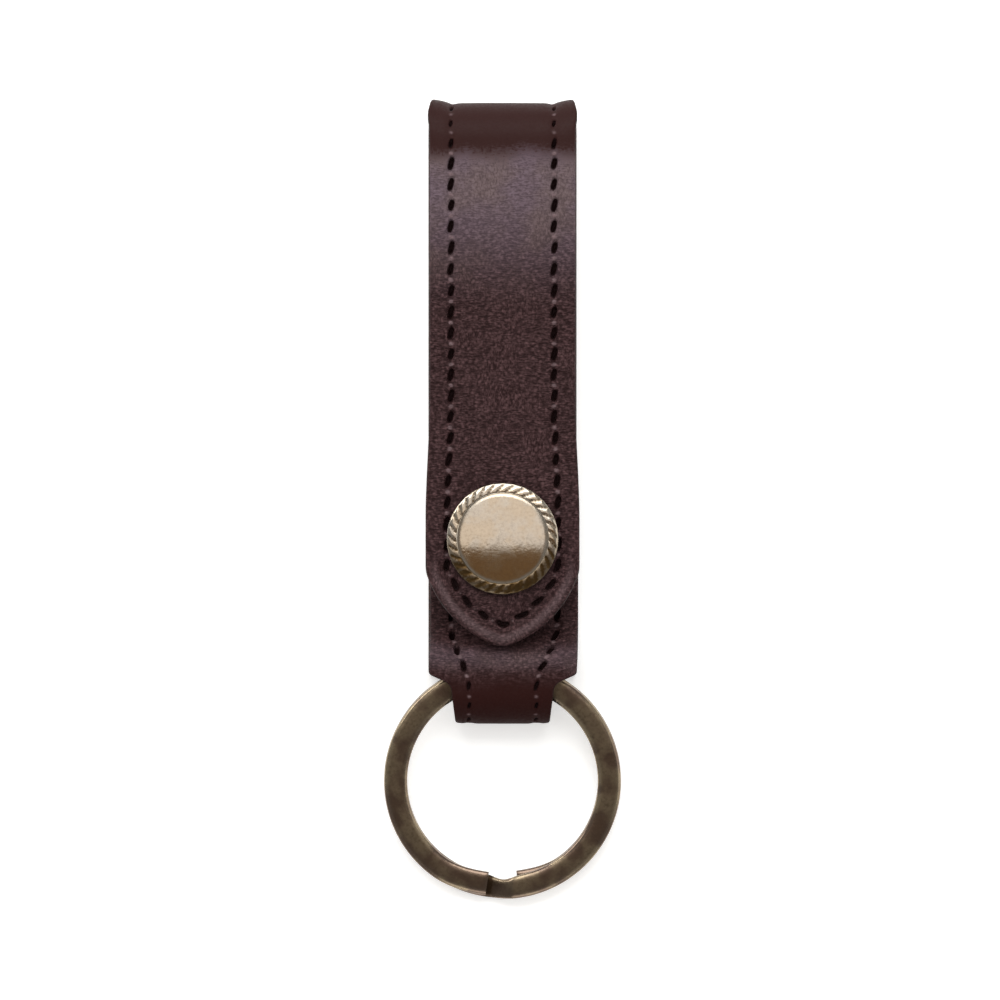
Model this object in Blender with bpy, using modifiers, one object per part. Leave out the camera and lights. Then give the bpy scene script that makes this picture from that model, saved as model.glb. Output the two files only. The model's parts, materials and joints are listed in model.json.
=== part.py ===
# Leather key holder: a strap folded into a belt loop, a snap flap and a split ring.
# It lies on its back: +X across the strap, +Y towards the top fold, +Z out of the flap. Metres.

from math import acos, asin, atan2, ceil, cos, degrees, hypot, pi, radians, sin, sqrt, tan

import bmesh
import bpy
from mathutils import Matrix, Vector

MM = 0.001

# Leather, both layers
FACE_THICKNESS = 0.9 * MM
LINING_THICKNESS = 0.9 * MM
GLUE_LINE = 0.25 * MM
LAY_GAP = 0.25 * MM
CUT_GAP = 0.3 * MM
EDGE_ROUNDING = 0.25 * MM

# Strap outline
LEATHER_LENGTH = 83.85 * MM
STRAP_WIDTH = 20.0 * MM
FLAP_SLIMMER_BY = 0.3 * MM
HEAD_WIDER_BY = 0.8 * MM
TIP_BELOW_SNAP = 14.5 * MM
TIP_GAP = 0.67 * MM
WIDENING_FROM_TIP = 28.0 * MM
WIDENING_LENGTH = 10.3 * MM
WIDENING_RADIUS = 12.0 * MM
HEAD_CORNER_RADIUS = 4.5 * MM
HEAD_CORNER_TURN = 20.0
TIP_RADIUS = 3.7 * MM
TIP_TURN = 22.0
RETURN_ABOVE_SNAP = 8.0 * MM
RETURN_CORNER_RADIUS = 1.2 * MM
FOLD_SEGMENTS = 3

# Neck and ring loop
LOOP_CLEARANCE = 0.875 * MM
NECK_STEP = 3.5 * MM
NECK_FLARE = 0.4 * MM
SHOULDER_ABOVE_LOOP_END = 7.2 * MM
SHOULDER_RADIUS = 1.0 * MM
SHOULDER_TURN = 72.0
NECK_FILLET = 2.0 * MM
NECK_TAPER = 16.0
NECK_TAPER_SHARE = 0.4
NECK_MARGIN = 0.29 * MM
HUMP_PAST_RING = 0.83 * MM
HUMP_SLOPE = 47.5
HUMP_INNER_RADIUS = 0.35 * MM
HOLLOW_RADIUS = 3.0 * MM

# Sewing
STITCH_INSET = 3.0 * MM
THREAD_RADIUS = 0.25 * MM
GROOVE_GAP = 0.2 * MM
THREAD_END_MARGIN = 0.6 * MM
BACK_SEAM_SINK = 0.05 * MM
SEAM_CORNER_RADIUS = 1.0 * MM

# Snap fastener
METAL_GAP = 0.2 * MM
CAP_INSIDE_STRAP = 2.45 * MM
CAP_RIM_RADIUS = 0.7 * MM
CAP_DOME = 0.35 * MM
CAP_WALL = 0.4 * MM
POST_RADIUS = 1.9 * MM
POST_WALL = 0.45 * MM
POST_FLANGE_RADIUS = 4.0 * MM
POST_FLANGE_THICKNESS = 0.3 * MM
POST_ROLL_RADIUS = 2.7 * MM
HEAD_CLEARANCE = 0.2 * MM
SOCKET_RADIUS = 5.1 * MM
SOCKET_PLATE = 0.3 * MM
SOCKET_WALL = 0.5 * MM
SPRING_WIRE_RADIUS = 0.3 * MM
SPRING_OPENING = 50.0
STUD_BASE_RADIUS = 4.6 * MM
STUD_BASE_THICKNESS = 0.35 * MM
STUD_HEAD_RADIUS = 2.3 * MM
STUD_NECK_RADIUS = 1.95 * MM
STUD_HEAD_HEIGHT = 0.7 * MM
STUD_CROWN = 0.3 * MM
STUD_POST_RADIUS = 1.0 * MM
BACK_FLANGE_RADIUS = 4.5 * MM
BACK_FLANGE_THICKNESS = 0.6 * MM
BACK_FLANGE_SINK = 0.05 * MM

# Split ring
RING_RADIUS = 16.0 * MM
RING_BAND = 3.14 * MM
COIL_THICKNESS = 1.3 * MM
COIL_GAP = 0.15 * MM
COIL_ROUNDING = 0.35 * MM
JOG_LENGTH = 3.4 * MM
COIL_END_GAP = 0.35 * MM
RING_SEAT_GAP = 1.15 * MM
RING_LIFT = 0.1 * MM

# Smoothness of the round shapes
ARC_STEP = 10.0
TURNED_STEPS = 48
RING_POINTS_A_TURN = 60

# How far cutters reach past what they cut, and how large the axes are drawn
CUTTER_MARGIN = 1.0 * MM
AXIS_MARK = 5.0 * MM

# Widths and thicknesses that follow
FLAP_WIDTH = STRAP_WIDTH - FLAP_SLIMMER_BY
HEAD_WIDTH = STRAP_WIDTH + HEAD_WIDER_BY
NECK_WIDTH = STRAP_WIDTH - 2 * NECK_STEP
NECK_HALF_AT_RING = NECK_WIDTH / 2 + NECK_FLARE
CAP_RADIUS = STRAP_WIDTH / 2 - CAP_INSIDE_STRAP
LEATHER = FACE_THICKNESS + GLUE_LINE + LINING_THICKNESS
RING_MEAN_RADIUS = RING_RADIUS - RING_BAND / 2
RING_INNER_RADIUS = RING_RADIUS - RING_BAND
RING_HALF_THICKNESS = COIL_THICKNESS + COIL_GAP / 2
LOOP_RADIUS = RING_HALF_THICKNESS + LOOP_CLEARANCE + LEATHER
LOOP_TOP = 2 * LOOP_RADIUS
HUMP_RADIUS = LEATHER + HUMP_INNER_RADIUS

# Heights, from the table up: strap, return end, stud, socket, flap
RETURN_TOP = 2 * LEATHER + LAY_GAP
STUD_BASE_LOW = RETURN_TOP + METAL_GAP
STUD_BASE_TOP = STUD_BASE_LOW + STUD_BASE_THICKNESS
SOCKET_LOW = STUD_BASE_TOP + METAL_GAP
SPRING_RADIUS = STUD_NECK_RADIUS + METAL_GAP / 2 + SPRING_WIRE_RADIUS
SPRING_Z = SOCKET_LOW + METAL_GAP / 2 + SPRING_WIRE_RADIUS
STUD_HEAD_LOW = SPRING_Z + SPRING_WIRE_RADIUS + METAL_GAP / 4
STUD_HEAD_TOP = STUD_HEAD_LOW + STUD_HEAD_HEIGHT
POST_ROLL_LOW = STUD_HEAD_TOP + HEAD_CLEARANCE
POST_ROLL_TOP = POST_ROLL_LOW + POST_FLANGE_THICKNESS
SOCKET_PLATE_LOW = POST_ROLL_TOP + METAL_GAP
SOCKET_TOP = SOCKET_PLATE_LOW + SOCKET_PLATE
FLAP_UNDER = SOCKET_TOP + METAL_GAP
FLAP_TOP = FLAP_UNDER + LEATHER
FOLD_RADIUS = FLAP_TOP / 2

# The ring leans on its far edge, which touches the table
RING_HINGE_Z = LOOP_RADIUS + RING_LIFT
RING_REACH = hypot(RING_MEAN_RADIUS + RING_RADIUS, RING_HALF_THICKNESS)
RING_TILT = asin(RING_HINGE_Z / RING_REACH) - atan2(
    RING_HALF_THICKNESS, RING_MEAN_RADIUS + RING_RADIUS
)

# The ring's reach past the end of the loop sets the whole length, whose middle is the origin
RING_CENTRE_PAST_LOOP = (
    sqrt(RING_INNER_RADIUS**2 - NECK_HALF_AT_RING**2) - LEATHER - RING_SEAT_GAP
)
RING_END_PAST_LOOP = (
    RING_CENTRE_PAST_LOOP
    + RING_RADIUS * cos(RING_TILT)
    + RING_HALF_THICKNESS * sin(RING_TILT)
)
OVERALL_LENGTH = LEATHER_LENGTH + RING_END_PAST_LOOP

# Places along the strap, from the ring loop up to the fold
TOP_Y = OVERALL_LENGTH / 2
LOOP_END_Y = TOP_Y - LEATHER_LENGTH
LOOP_Y = LOOP_END_Y + LOOP_RADIUS
SHOULDER_Y = LOOP_END_Y + SHOULDER_ABOVE_LOOP_END
RING_CENTRE_Y = LOOP_END_Y - RING_CENTRE_PAST_LOOP
RING_HINGE_Y = RING_CENTRE_Y + RING_MEAN_RADIUS * cos(RING_TILT)
HUMP_Y = RING_CENTRE_Y + RING_RADIUS * cos(RING_TILT) + HUMP_PAST_RING
HUMP_FALL = tan(radians(HUMP_SLOPE))
HUMP_FOOT_Y = (
    HUMP_Y
    + (LOOP_TOP - RETURN_TOP) / HUMP_FALL
    + HOLLOW_RADIUS * tan(radians(HUMP_SLOPE) / 2)
)
NECK_Y = HUMP_FOOT_Y + NECK_MARGIN
TIP_Y = HUMP_Y + (LOOP_TOP - FLAP_UNDER) / HUMP_FALL + TIP_GAP
SNAP_Y = TIP_Y + TIP_BELOW_SNAP
RETURN_END_Y = SNAP_Y + RETURN_ABOVE_SNAP
FOLD_Y = TOP_Y - FOLD_RADIUS
RING_CENTRE = Vector((0, RING_CENTRE_Y, RING_HINGE_Z - RING_MEAN_RADIUS * sin(RING_TILT)))

# Depths of the two leather layers below the strap's outer surface
FACE_LAYER = (0.0, FACE_THICKNESS)
LINING_LAYER = (FACE_THICKNESS + GLUE_LINE, LEATHER)

FACE_COLOUR = (0.045, 0.024, 0.021)
LINING_COLOUR = (0.055, 0.032, 0.024)
THREAD_COLOUR = (0.020, 0.012, 0.011)
BRASS_COLOUR = (0.36, 0.25, 0.15)
STEEL_COLOUR = (0.55, 0.53, 0.50)


# Scene and materials


def clear_scene():
    for obj in list(bpy.data.objects):
        bpy.data.objects.remove(obj, do_unlink=True)


def new_collection(name):
    collection = bpy.data.collections.new(name)
    bpy.context.scene.collection.children.link(collection)
    return collection


def new_material(name, colour, roughness, metallic):
    material = bpy.data.materials.new(name)
    material.use_nodes = True
    shader = material.node_tree.nodes["Principled BSDF"]
    shader.inputs["Base Color"].default_value = (*colour, 1.0)
    shader.inputs["Roughness"].default_value = roughness
    shader.inputs["Metallic"].default_value = metallic
    return material


def add_object(name, data, collection, material=None):
    obj = bpy.data.objects.new(name, data)
    collection.objects.link(obj)
    if material:
        data.materials.append(material)
    return obj


def add_cutter(name, data, collection):
    obj = add_object(name, data, collection)
    obj.hide_render = True
    obj.display_type = "WIRE"
    return obj


# Routes and outlines


def walk(start, heading, legs, inset=0.0):
    """Points along a route in a plane. A leg is (length,) or (radius, turn), with the turn in
    degrees, positive to the left. The inset moves the route to its right-hand side."""
    x, y = start
    angle = radians(heading)
    points = [(x + inset * sin(angle), y - inset * cos(angle))]
    for leg in legs:
        if len(leg) == 1:
            x += leg[0] * cos(angle)
            y += leg[0] * sin(angle)
            points.append((x + inset * sin(angle), y - inset * cos(angle)))
            continue
        radius, turn = leg
        side = 1 if turn > 0 else -1
        steps = max(2, ceil(abs(turn) / ARC_STEP))
        for _ in range(steps):
            turned = angle + radians(turn) / steps
            x += side * radius * (sin(turned) - sin(angle))
            y += side * radius * (cos(angle) - cos(turned))
            angle = turned
            points.append((x + inset * sin(angle), y - inset * cos(angle)))
    return points


def mirrored(points):
    """The outline of both halves, from the points of the right-hand half."""
    left = [(-x, y) for x, y in reversed(points) if x > 1e-6]
    return points + left


def side_step(offset, length, radius):
    """Legs that move a route sideways to the left over a length, with an arc at each end."""
    lean = hypot(offset - 2 * radius, length)
    turn = acos(-2 * radius / lean) - atan2(length, offset - 2 * radius)
    straight = (length - 2 * radius * sin(turn)) / cos(turn)
    return [(radius, degrees(turn)), (straight,), (radius, -degrees(turn))]


def flap_half(inset=0.0):
    """The right-hand half of the flap's outline, from the fold down to the tip."""
    head = HEAD_WIDTH / 2
    corner = radians(HEAD_CORNER_TURN)
    side = radians(90 - TIP_TURN)
    side_radius = (
        head - HEAD_CORNER_RADIUS * (1 - cos(corner)) - TIP_RADIUS * cos(side)
    ) / (cos(corner) - cos(side))
    head_length = (
        HEAD_CORNER_RADIUS * sin(corner)
        + side_radius * (sin(side) - sin(corner))
        + TIP_RADIUS * (1 - sin(side))
    )
    widening = (HEAD_WIDTH - FLAP_WIDTH) / 2
    high = FOLD_Y - CUT_GAP / 2
    legs = [
        (high - TIP_Y - WIDENING_FROM_TIP,),
        *side_step(widening, WIDENING_LENGTH, WIDENING_RADIUS),
        (WIDENING_FROM_TIP - WIDENING_LENGTH - head_length,),
        (HEAD_CORNER_RADIUS, -HEAD_CORNER_TURN),
        (side_radius, HEAD_CORNER_TURN + TIP_TURN - 90),
        (TIP_RADIUS, -TIP_TURN),
    ]
    return walk((FLAP_WIDTH / 2, high), -90, legs, inset)


def return_half(edge, corner_radius):
    """The right-hand half of the return end's outline, or of its seam at some distance inside."""
    low = NECK_Y + CUT_GAP / 2
    side = STRAP_WIDTH / 2 - edge
    legs = [
        (RETURN_END_Y - edge - corner_radius - low,),
        (corner_radius, 90),
        (side - corner_radius,),
    ]
    return walk((side, low), 90, legs)


def neck_half():
    """The right-hand half of the neck's outline, from above the shoulder to past the loop."""
    straight = STRAP_WIDTH / 2 - NECK_WIDTH / 2
    turn = radians(SHOULDER_TURN)
    taper = radians(NECK_TAPER)
    arcs = SHOULDER_RADIUS * (1 - cos(turn)) + NECK_FILLET * (cos(taper) - cos(turn))
    taper_width = (straight - arcs) * NECK_TAPER_SHARE
    flank_width = straight - arcs - taper_width
    legs = [
        (NECK_Y - SHOULDER_Y,),
        (SHOULDER_RADIUS, -SHOULDER_TURN),
        (flank_width / sin(turn),),
        (NECK_FILLET, SHOULDER_TURN - NECK_TAPER),
        (taper_width / sin(taper),),
        (NECK_FILLET, NECK_TAPER),
        (LOOP_RADIUS,),
    ]
    return walk((STRAP_WIDTH / 2, NECK_Y), -90, legs)


# Solids from outlines


def as_mesh(obj):
    """The mesh of an evaluated curve object, with its caps welded; the curve is removed."""
    bpy.context.view_layer.update()
    graph = bpy.context.evaluated_depsgraph_get()
    mesh = bpy.data.meshes.new_from_object(obj.evaluated_get(graph))
    mesh.transform(obj.matrix_world)
    shape = bmesh.new()
    shape.from_mesh(mesh)
    bmesh.ops.remove_doubles(shape, verts=shape.verts, dist=1e-6)
    bmesh.ops.recalc_face_normals(shape, faces=shape.faces)
    shape.to_mesh(mesh)
    shape.free()
    bpy.data.objects.remove(obj, do_unlink=True)
    return mesh


def plate_mesh(outline, thickness, place, rounding=0.0):
    """A flat outline with thickness along its own z, centred on it, moved by a matrix."""
    curve = bpy.data.curves.new("outline", "CURVE")
    curve.dimensions = "2D"
    curve.fill_mode = "BOTH"
    curve.extrude = thickness / 2 - rounding
    curve.bevel_depth = rounding
    curve.bevel_resolution = 1
    curve.offset = -rounding
    spline = curve.splines.new("POLY")
    spline.points.add(len(outline) - 1)
    for point, (x, y) in zip(spline.points, outline):
        point.co = (x, y, 0, 1)
    spline.use_cyclic_u = True
    obj = bpy.data.objects.new("outline", curve)
    bpy.context.scene.collection.objects.link(obj)
    obj.matrix_world = place
    return as_mesh(obj)


def flat_mesh(outline, low, high, rounding=0.0):
    """A plan outline, made solid from one height to another."""
    return plate_mesh(outline, high - low, Matrix.Translation((0, 0, (low + high) / 2)), rounding)


def profile_mesh(outline, half_width):
    """A side outline in Y and Z, made solid across the strap's width."""
    upright = Matrix(((0, 0, 1, 0), (1, 0, 0, 0), (0, 1, 0, 0), (0, 0, 0, 1)))
    return plate_mesh(outline, 2 * half_width, upright)


def layer_profile(start, heading, legs, layer):
    """The side outline of one leather layer that bends along a route."""
    outer = walk(start, heading, legs, layer[0])
    inner = walk(start, heading, legs, layer[1])
    return outer + inner[::-1]


def tube_mesh(points, radius, sides_level=2):
    curve = bpy.data.curves.new("route", "CURVE")
    curve.dimensions = "3D"
    curve.bevel_depth = radius
    curve.bevel_resolution = sides_level
    curve.use_fill_caps = True
    spline = curve.splines.new("POLY")
    spline.points.add(len(points) - 1)
    for point, place in zip(spline.points, points):
        point.co = (*place, 1)
    obj = bpy.data.objects.new("route", curve)
    bpy.context.scene.collection.objects.link(obj)
    return as_mesh(obj)


def turned_object(name, profile, collection, material=None, cutter=False):
    """A profile of (radius, height) points, top to bottom on its outer side, turned about the snap's axis."""
    mesh = bpy.data.meshes.new(name)
    mesh.from_pydata([(r, 0, z) for r, z in profile], [(i, i + 1) for i in range(len(profile) - 1)], [])
    if cutter:
        obj = add_cutter(name, mesh, collection)
    else:
        obj = add_object(name, mesh, collection, material)
    obj.location = (0, SNAP_Y, 0)
    screw = obj.modifiers.new("Turn", "SCREW")
    screw.steps = TURNED_STEPS
    screw.render_steps = TURNED_STEPS
    screw.use_merge_vertices = True
    screw.merge_threshold = 1e-6
    screw.use_smooth_shade = True
    return obj


def cut(obj, cutter, operation="DIFFERENCE"):
    boolean = obj.modifiers.new("Cut", "BOOLEAN")
    boolean.operation = operation
    boolean.object = cutter


def smooth(obj, angle=40):
    obj.data.shade_smooth()
    obj.data.set_sharp_from_angle(angle=radians(angle))


# Leather


def leather_sheets(name, outline, surface, facing, collection, materials, rounding=EDGE_ROUNDING):
    """The flat face and lining of a stretch of strap. The face's outer side lies at the given height
    and looks along facing, +1 for up and -1 for down."""
    pieces = []
    for suffix, layer, material in zip(("face", "lining"), (FACE_LAYER, LINING_LAYER), materials):
        heights = sorted((surface - facing * layer[0], surface - facing * layer[1]))
        mesh = flat_mesh(outline, *heights, rounding)
        obj = add_object(f"{name}_{suffix}", mesh, collection, material)
        smooth(obj)
        pieces.append(obj)
    return pieces


def leather_bend(name, start, heading, legs, half_width, collection, materials, trim=None):
    """The face and lining of a stretch of strap that bends; trim narrows them to a plan outline."""
    pieces = []
    for suffix, layer, material in zip(("face", "lining"), (FACE_LAYER, LINING_LAYER), materials):
        mesh = profile_mesh(layer_profile(start, heading, legs, layer), half_width)
        obj = add_object(f"{name}_{suffix}", mesh, collection, material)
        if trim:
            cut(obj, trim, "INTERSECT")
        smooth(obj)
        pieces.append(obj)
    return pieces


def rectangle(half_width, low, high):
    return [(half_width, high), (half_width, low), (-half_width, low), (-half_width, high)]


def make_flap(parts, cutters, leathers, thread):
    pieces = leather_sheets("flap", mirrored(flap_half()), FLAP_TOP, 1, parts, leathers)
    hole = snap_hole("flap_hole", POST_RADIUS + METAL_GAP, FLAP_UNDER, FLAP_TOP, cutters)
    for piece in pieces:
        cut(piece, hole)
    row = flap_half(STITCH_INSET)
    row[0] = (row[0][0], row[0][1] - THREAD_END_MARGIN)
    seam = make_seam("flap_thread", mirrored(row), FLAP_TOP, 1, pieces[0], parts, cutters, thread)
    return [*pieces, seam]


def make_fold(parts, leathers):
    """The top fold in equal segments, the lowest first, cut along radial planes."""
    names = ("fold_lower", "fold_middle", "fold_upper")
    turn = 180 / FOLD_SEGMENTS
    gap_turn = degrees(CUT_GAP / FOLD_RADIUS)
    segments = []
    for index in range(FOLD_SEGMENTS):
        from_top = 180 - turn * (index + 1) + gap_turn / 2
        start, heading = fold_point(from_top)
        legs = [(FOLD_RADIUS, -(turn - gap_turn))]
        segments.append(
            leather_bend(names[index], start, heading, legs, FLAP_WIDTH / 2, parts, leathers)
        )
    return segments


def fold_point(from_top):
    """The place and heading on the fold's outer surface, so many degrees past its top end."""
    angle = radians(from_top)
    return (FOLD_Y + FOLD_RADIUS * sin(angle), FOLD_RADIUS * (1 + cos(angle))), -from_top


def make_back(parts, cutters, leathers, thread):
    low = NECK_Y + CUT_GAP / 2
    high = FOLD_Y - CUT_GAP / 2
    pieces = leather_sheets("back", rectangle(STRAP_WIDTH / 2, low, high), 0.0, -1, parts, leathers)
    row_x = STRAP_WIDTH / 2 - STITCH_INSET
    for side, word in ((-1, "left"), (1, "right")):
        route = [
            (side * row_x, high - THREAD_END_MARGIN),
            (side * row_x, low + THREAD_END_MARGIN),
        ]
        name = f"back_thread_{word}"
        pieces.append(
            make_seam(name, route, BACK_SEAM_SINK, -1, pieces[0], parts, cutters, thread)
        )
    barrel = STUD_POST_RADIUS + METAL_GAP
    cut(pieces[1], snap_hole("back_barrel_hole", barrel, FACE_THICKNESS, LEATHER, cutters))
    flange = BACK_FLANGE_RADIUS + METAL_GAP
    cut(pieces[0], snap_hole("back_flange_hole", flange, 0, FACE_THICKNESS, cutters))
    return pieces


def make_return(parts, cutters, leathers, thread):
    outline = mirrored(return_half(0, RETURN_CORNER_RADIUS))
    pieces = leather_sheets("return_end", outline, RETURN_TOP, 1, parts, leathers)
    row = return_half(STITCH_INSET, SEAM_CORNER_RADIUS)
    row[0] = (row[0][0], row[0][1] + THREAD_END_MARGIN)
    seam = make_seam(
        "return_thread", mirrored(row), RETURN_TOP, 1, pieces[0], parts, cutters, thread
    )
    hole = snap_hole("return_hole", STUD_POST_RADIUS + METAL_GAP, LEATHER, RETURN_TOP, cutters)
    for piece in pieces:
        cut(piece, hole)
    return [*pieces, seam]


def make_neck_and_loop(parts, cutters, leathers):
    """The stretch that narrows and bends round the ring: flat at the back, humped in front."""
    outline = mirrored(neck_half())
    prism = flat_mesh(outline, -CUTTER_MARGIN, LOOP_TOP + CUTTER_MARGIN)
    trim = add_cutter("neck_outline", prism, cutters)
    half_width = STRAP_WIDTH / 2 + CUTTER_MARGIN
    flat = NECK_Y - LOOP_Y
    back = leather_bend(
        "neck_back",
        (NECK_Y - CUT_GAP / 2, 0.0),
        180,
        [(flat - CUT_GAP,)],
        half_width,
        parts,
        leathers,
        trim,
    )
    loop = leather_bend(
        "ring_loop", (LOOP_Y, 0.0), 180, [(LOOP_RADIUS, -180)], half_width, parts, leathers, trim
    )
    slope = radians(HUMP_SLOPE)
    run = (LOOP_TOP - RETURN_TOP) / sin(slope) - (HUMP_RADIUS + HOLLOW_RADIUS) * tan(slope / 2)
    legs = [
        (HUMP_Y - HUMP_RADIUS * tan(slope / 2) - LOOP_Y - CUT_GAP,),
        (HUMP_RADIUS, -HUMP_SLOPE),
        (run,),
        (HOLLOW_RADIUS, HUMP_SLOPE),
        (NECK_MARGIN - CUT_GAP / 2,),
    ]
    front = leather_bend(
        "neck_front", (LOOP_Y + CUT_GAP, LOOP_TOP), 0, legs, half_width, parts, leathers, trim
    )
    return back, loop, front


# Sewing


def make_seam(name, route, surface, facing, leather, parts, cutters, material):
    """A run of thread laid in a groove, flush with the leather's outer side."""
    height = surface - facing * THREAD_RADIUS
    places = [Vector((x, y, height)) for x, y in route]
    start = places[0] + (places[0] - places[1]).normalized() * 2 * THREAD_END_MARGIN
    end = places[-1] + (places[-1] - places[-2]).normalized() * 2 * THREAD_END_MARGIN
    groove = [start, *places[1:-1], end]
    radius = THREAD_RADIUS + GROOVE_GAP
    cut(leather, add_cutter(f"{name}_groove", tube_mesh(groove, radius), cutters))
    seam = add_object(name, tube_mesh(places, THREAD_RADIUS), parts, material)
    smooth(seam, 60)
    return seam


# Snap fastener


def snap_hole(name, radius, low, high, cutters):
    high += CUTTER_MARGIN
    low -= CUTTER_MARGIN
    profile = [(0, high), (radius, high), (radius, low), (0, low)]
    return turned_object(name, profile, cutters, cutter=True)


def make_cap(parts, brass):
    """A thin domed disc with a thick round rim, open underneath."""
    seat = FLAP_TOP + METAL_GAP
    rim_centre = CAP_RADIUS - CAP_RIM_RADIUS
    rim_height = seat + CAP_RIM_RADIUS
    field = rim_centre - CAP_RIM_RADIUS * cos(radians(30))
    field_top = rim_height + CAP_RIM_RADIUS * sin(radians(30))
    profile = []
    for ring in (0.0, 0.35, 0.7):
        profile.append((field * ring, field_top + CAP_DOME * (1 - ring**2)))
    for turn in range(150, -91, -20):
        angle = radians(turn)
        profile.append(
            (rim_centre + CAP_RIM_RADIUS * cos(angle), rim_height + CAP_RIM_RADIUS * sin(angle))
        )
    profile.append((rim_centre - CAP_RIM_RADIUS * 0.8, seat))
    profile.append((rim_centre - CAP_RIM_RADIUS * 0.8, field_top - CAP_WALL))
    profile.append((0.0, field_top - CAP_WALL))
    return turned_object("snap_cap", profile, parts, brass)


def make_cap_post(parts, brass):
    """The eyelet that joins cap and socket: a flange in the cap, a barrel, a rolled end."""
    flange_top = FLAP_TOP + METAL_GAP / 2 + POST_FLANGE_THICKNESS
    bore = POST_RADIUS - POST_WALL
    profile = [
        (0, flange_top),
        (POST_FLANGE_RADIUS, flange_top),
        (POST_FLANGE_RADIUS, flange_top - POST_FLANGE_THICKNESS),
        (POST_RADIUS, flange_top - POST_FLANGE_THICKNESS),
        (POST_RADIUS, POST_ROLL_TOP),
        (POST_ROLL_RADIUS, POST_ROLL_TOP),
        (POST_ROLL_RADIUS, POST_ROLL_LOW),
        (bore, POST_ROLL_LOW),
        (bore, flange_top - POST_FLANGE_THICKNESS),
        (0, flange_top - POST_FLANGE_THICKNESS),
    ]
    return turned_object("cap_post", profile, parts, brass)


def make_socket(parts, brass):
    """A cup under the flap with a groove round its mouth, where the spring sits."""
    mouth = STUD_HEAD_RADIUS + METAL_GAP
    groove = SPRING_RADIUS + SPRING_WIRE_RADIUS + METAL_GAP
    groove_low = SPRING_Z - SPRING_WIRE_RADIUS - METAL_GAP / 4
    groove_top = SPRING_Z + SPRING_WIRE_RADIUS + METAL_GAP / 2
    wall_inner = POST_ROLL_RADIUS + METAL_GAP
    shoulder = SOCKET_RADIUS - SOCKET_WALL
    hole = POST_RADIUS + METAL_GAP
    profile = [
        (hole, SOCKET_TOP),
        (SOCKET_RADIUS, SOCKET_TOP),
        (SOCKET_RADIUS, SOCKET_PLATE_LOW),
        (shoulder, SOCKET_LOW),
        (mouth, SOCKET_LOW),
        (mouth, groove_low),
        (groove, groove_low),
        (groove, groove_top),
        (wall_inner, groove_top),
        (wall_inner, SOCKET_PLATE_LOW),
        (hole, SOCKET_PLATE_LOW),
        (hole, SOCKET_TOP),
    ]
    return turned_object("snap_socket", profile, parts, brass)


def make_socket_spring(parts, steel):
    opening = radians(SPRING_OPENING)
    count = 24
    places = []
    for index in range(count + 1):
        angle = opening / 2 + (2 * pi - opening) * index / count
        x = SPRING_RADIUS * sin(angle)
        places.append((x, SNAP_Y + SPRING_RADIUS * cos(angle), SPRING_Z))
    obj = add_object("socket_spring", tube_mesh(places, SPRING_WIRE_RADIUS, 1), parts, steel)
    smooth(obj, 60)
    return obj


def make_stud(parts, brass):
    """A base plate with a necked, round-topped head; hollow, to take the post's end."""
    head_high = STUD_HEAD_TOP - STUD_CROWN
    bore = STUD_POST_RADIUS + METAL_GAP
    profile = [
        (0, head_high + STUD_CROWN),
        (STUD_HEAD_RADIUS * 0.55, head_high + STUD_CROWN * 0.85),
        (STUD_HEAD_RADIUS * 0.88, head_high + STUD_CROWN * 0.4),
        (STUD_HEAD_RADIUS, head_high),
        (STUD_HEAD_RADIUS, STUD_HEAD_LOW + METAL_GAP),
        (STUD_NECK_RADIUS, STUD_HEAD_LOW),
        (STUD_NECK_RADIUS, STUD_BASE_TOP),
        (STUD_BASE_RADIUS, STUD_BASE_TOP),
        (STUD_BASE_RADIUS, STUD_BASE_LOW),
        (bore, STUD_BASE_LOW),
        (bore, head_high),
        (0, head_high),
    ]
    return turned_object("stud", profile, parts, brass)


def make_stud_post(parts, brass):
    """The rivet behind the stud: its flange lies flush in the back, its barrel ends in the stud."""
    barrel_top = STUD_HEAD_TOP - STUD_CROWN - METAL_GAP
    flange_top = BACK_FLANGE_SINK + BACK_FLANGE_THICKNESS
    profile = [
        (0, barrel_top),
        (STUD_POST_RADIUS, barrel_top),
        (STUD_POST_RADIUS, flange_top),
        (BACK_FLANGE_RADIUS, flange_top),
        (BACK_FLANGE_RADIUS, BACK_FLANGE_SINK),
        (0, BACK_FLANGE_SINK),
    ]
    return turned_object("stud_post", profile, parts, brass)


# Split ring


def ring_section():
    """The flat wire's rounded section, drawn as a closed curve that the ring's route carries."""
    curve = bpy.data.curves.new("ring_section", "CURVE")
    curve.dimensions = "2D"
    across = RING_BAND / 2 - COIL_ROUNDING
    up = COIL_THICKNESS / 2 - COIL_ROUNDING
    points = []
    for corner, (sx, sy) in enumerate(((1, 1), (-1, 1), (-1, -1), (1, -1))):
        for part in (0, 45, 90):
            angle = radians(90 * corner + part)
            points.append(
                (sx * across + COIL_ROUNDING * cos(angle), sy * up + COIL_ROUNDING * sin(angle))
            )
    spline = curve.splines.new("POLY")
    spline.points.add(len(points) - 1)
    for point, (x, y) in zip(spline.points, points):
        point.co = (x, y, 0, 1)
    spline.use_cyclic_u = True
    return curve


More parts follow.
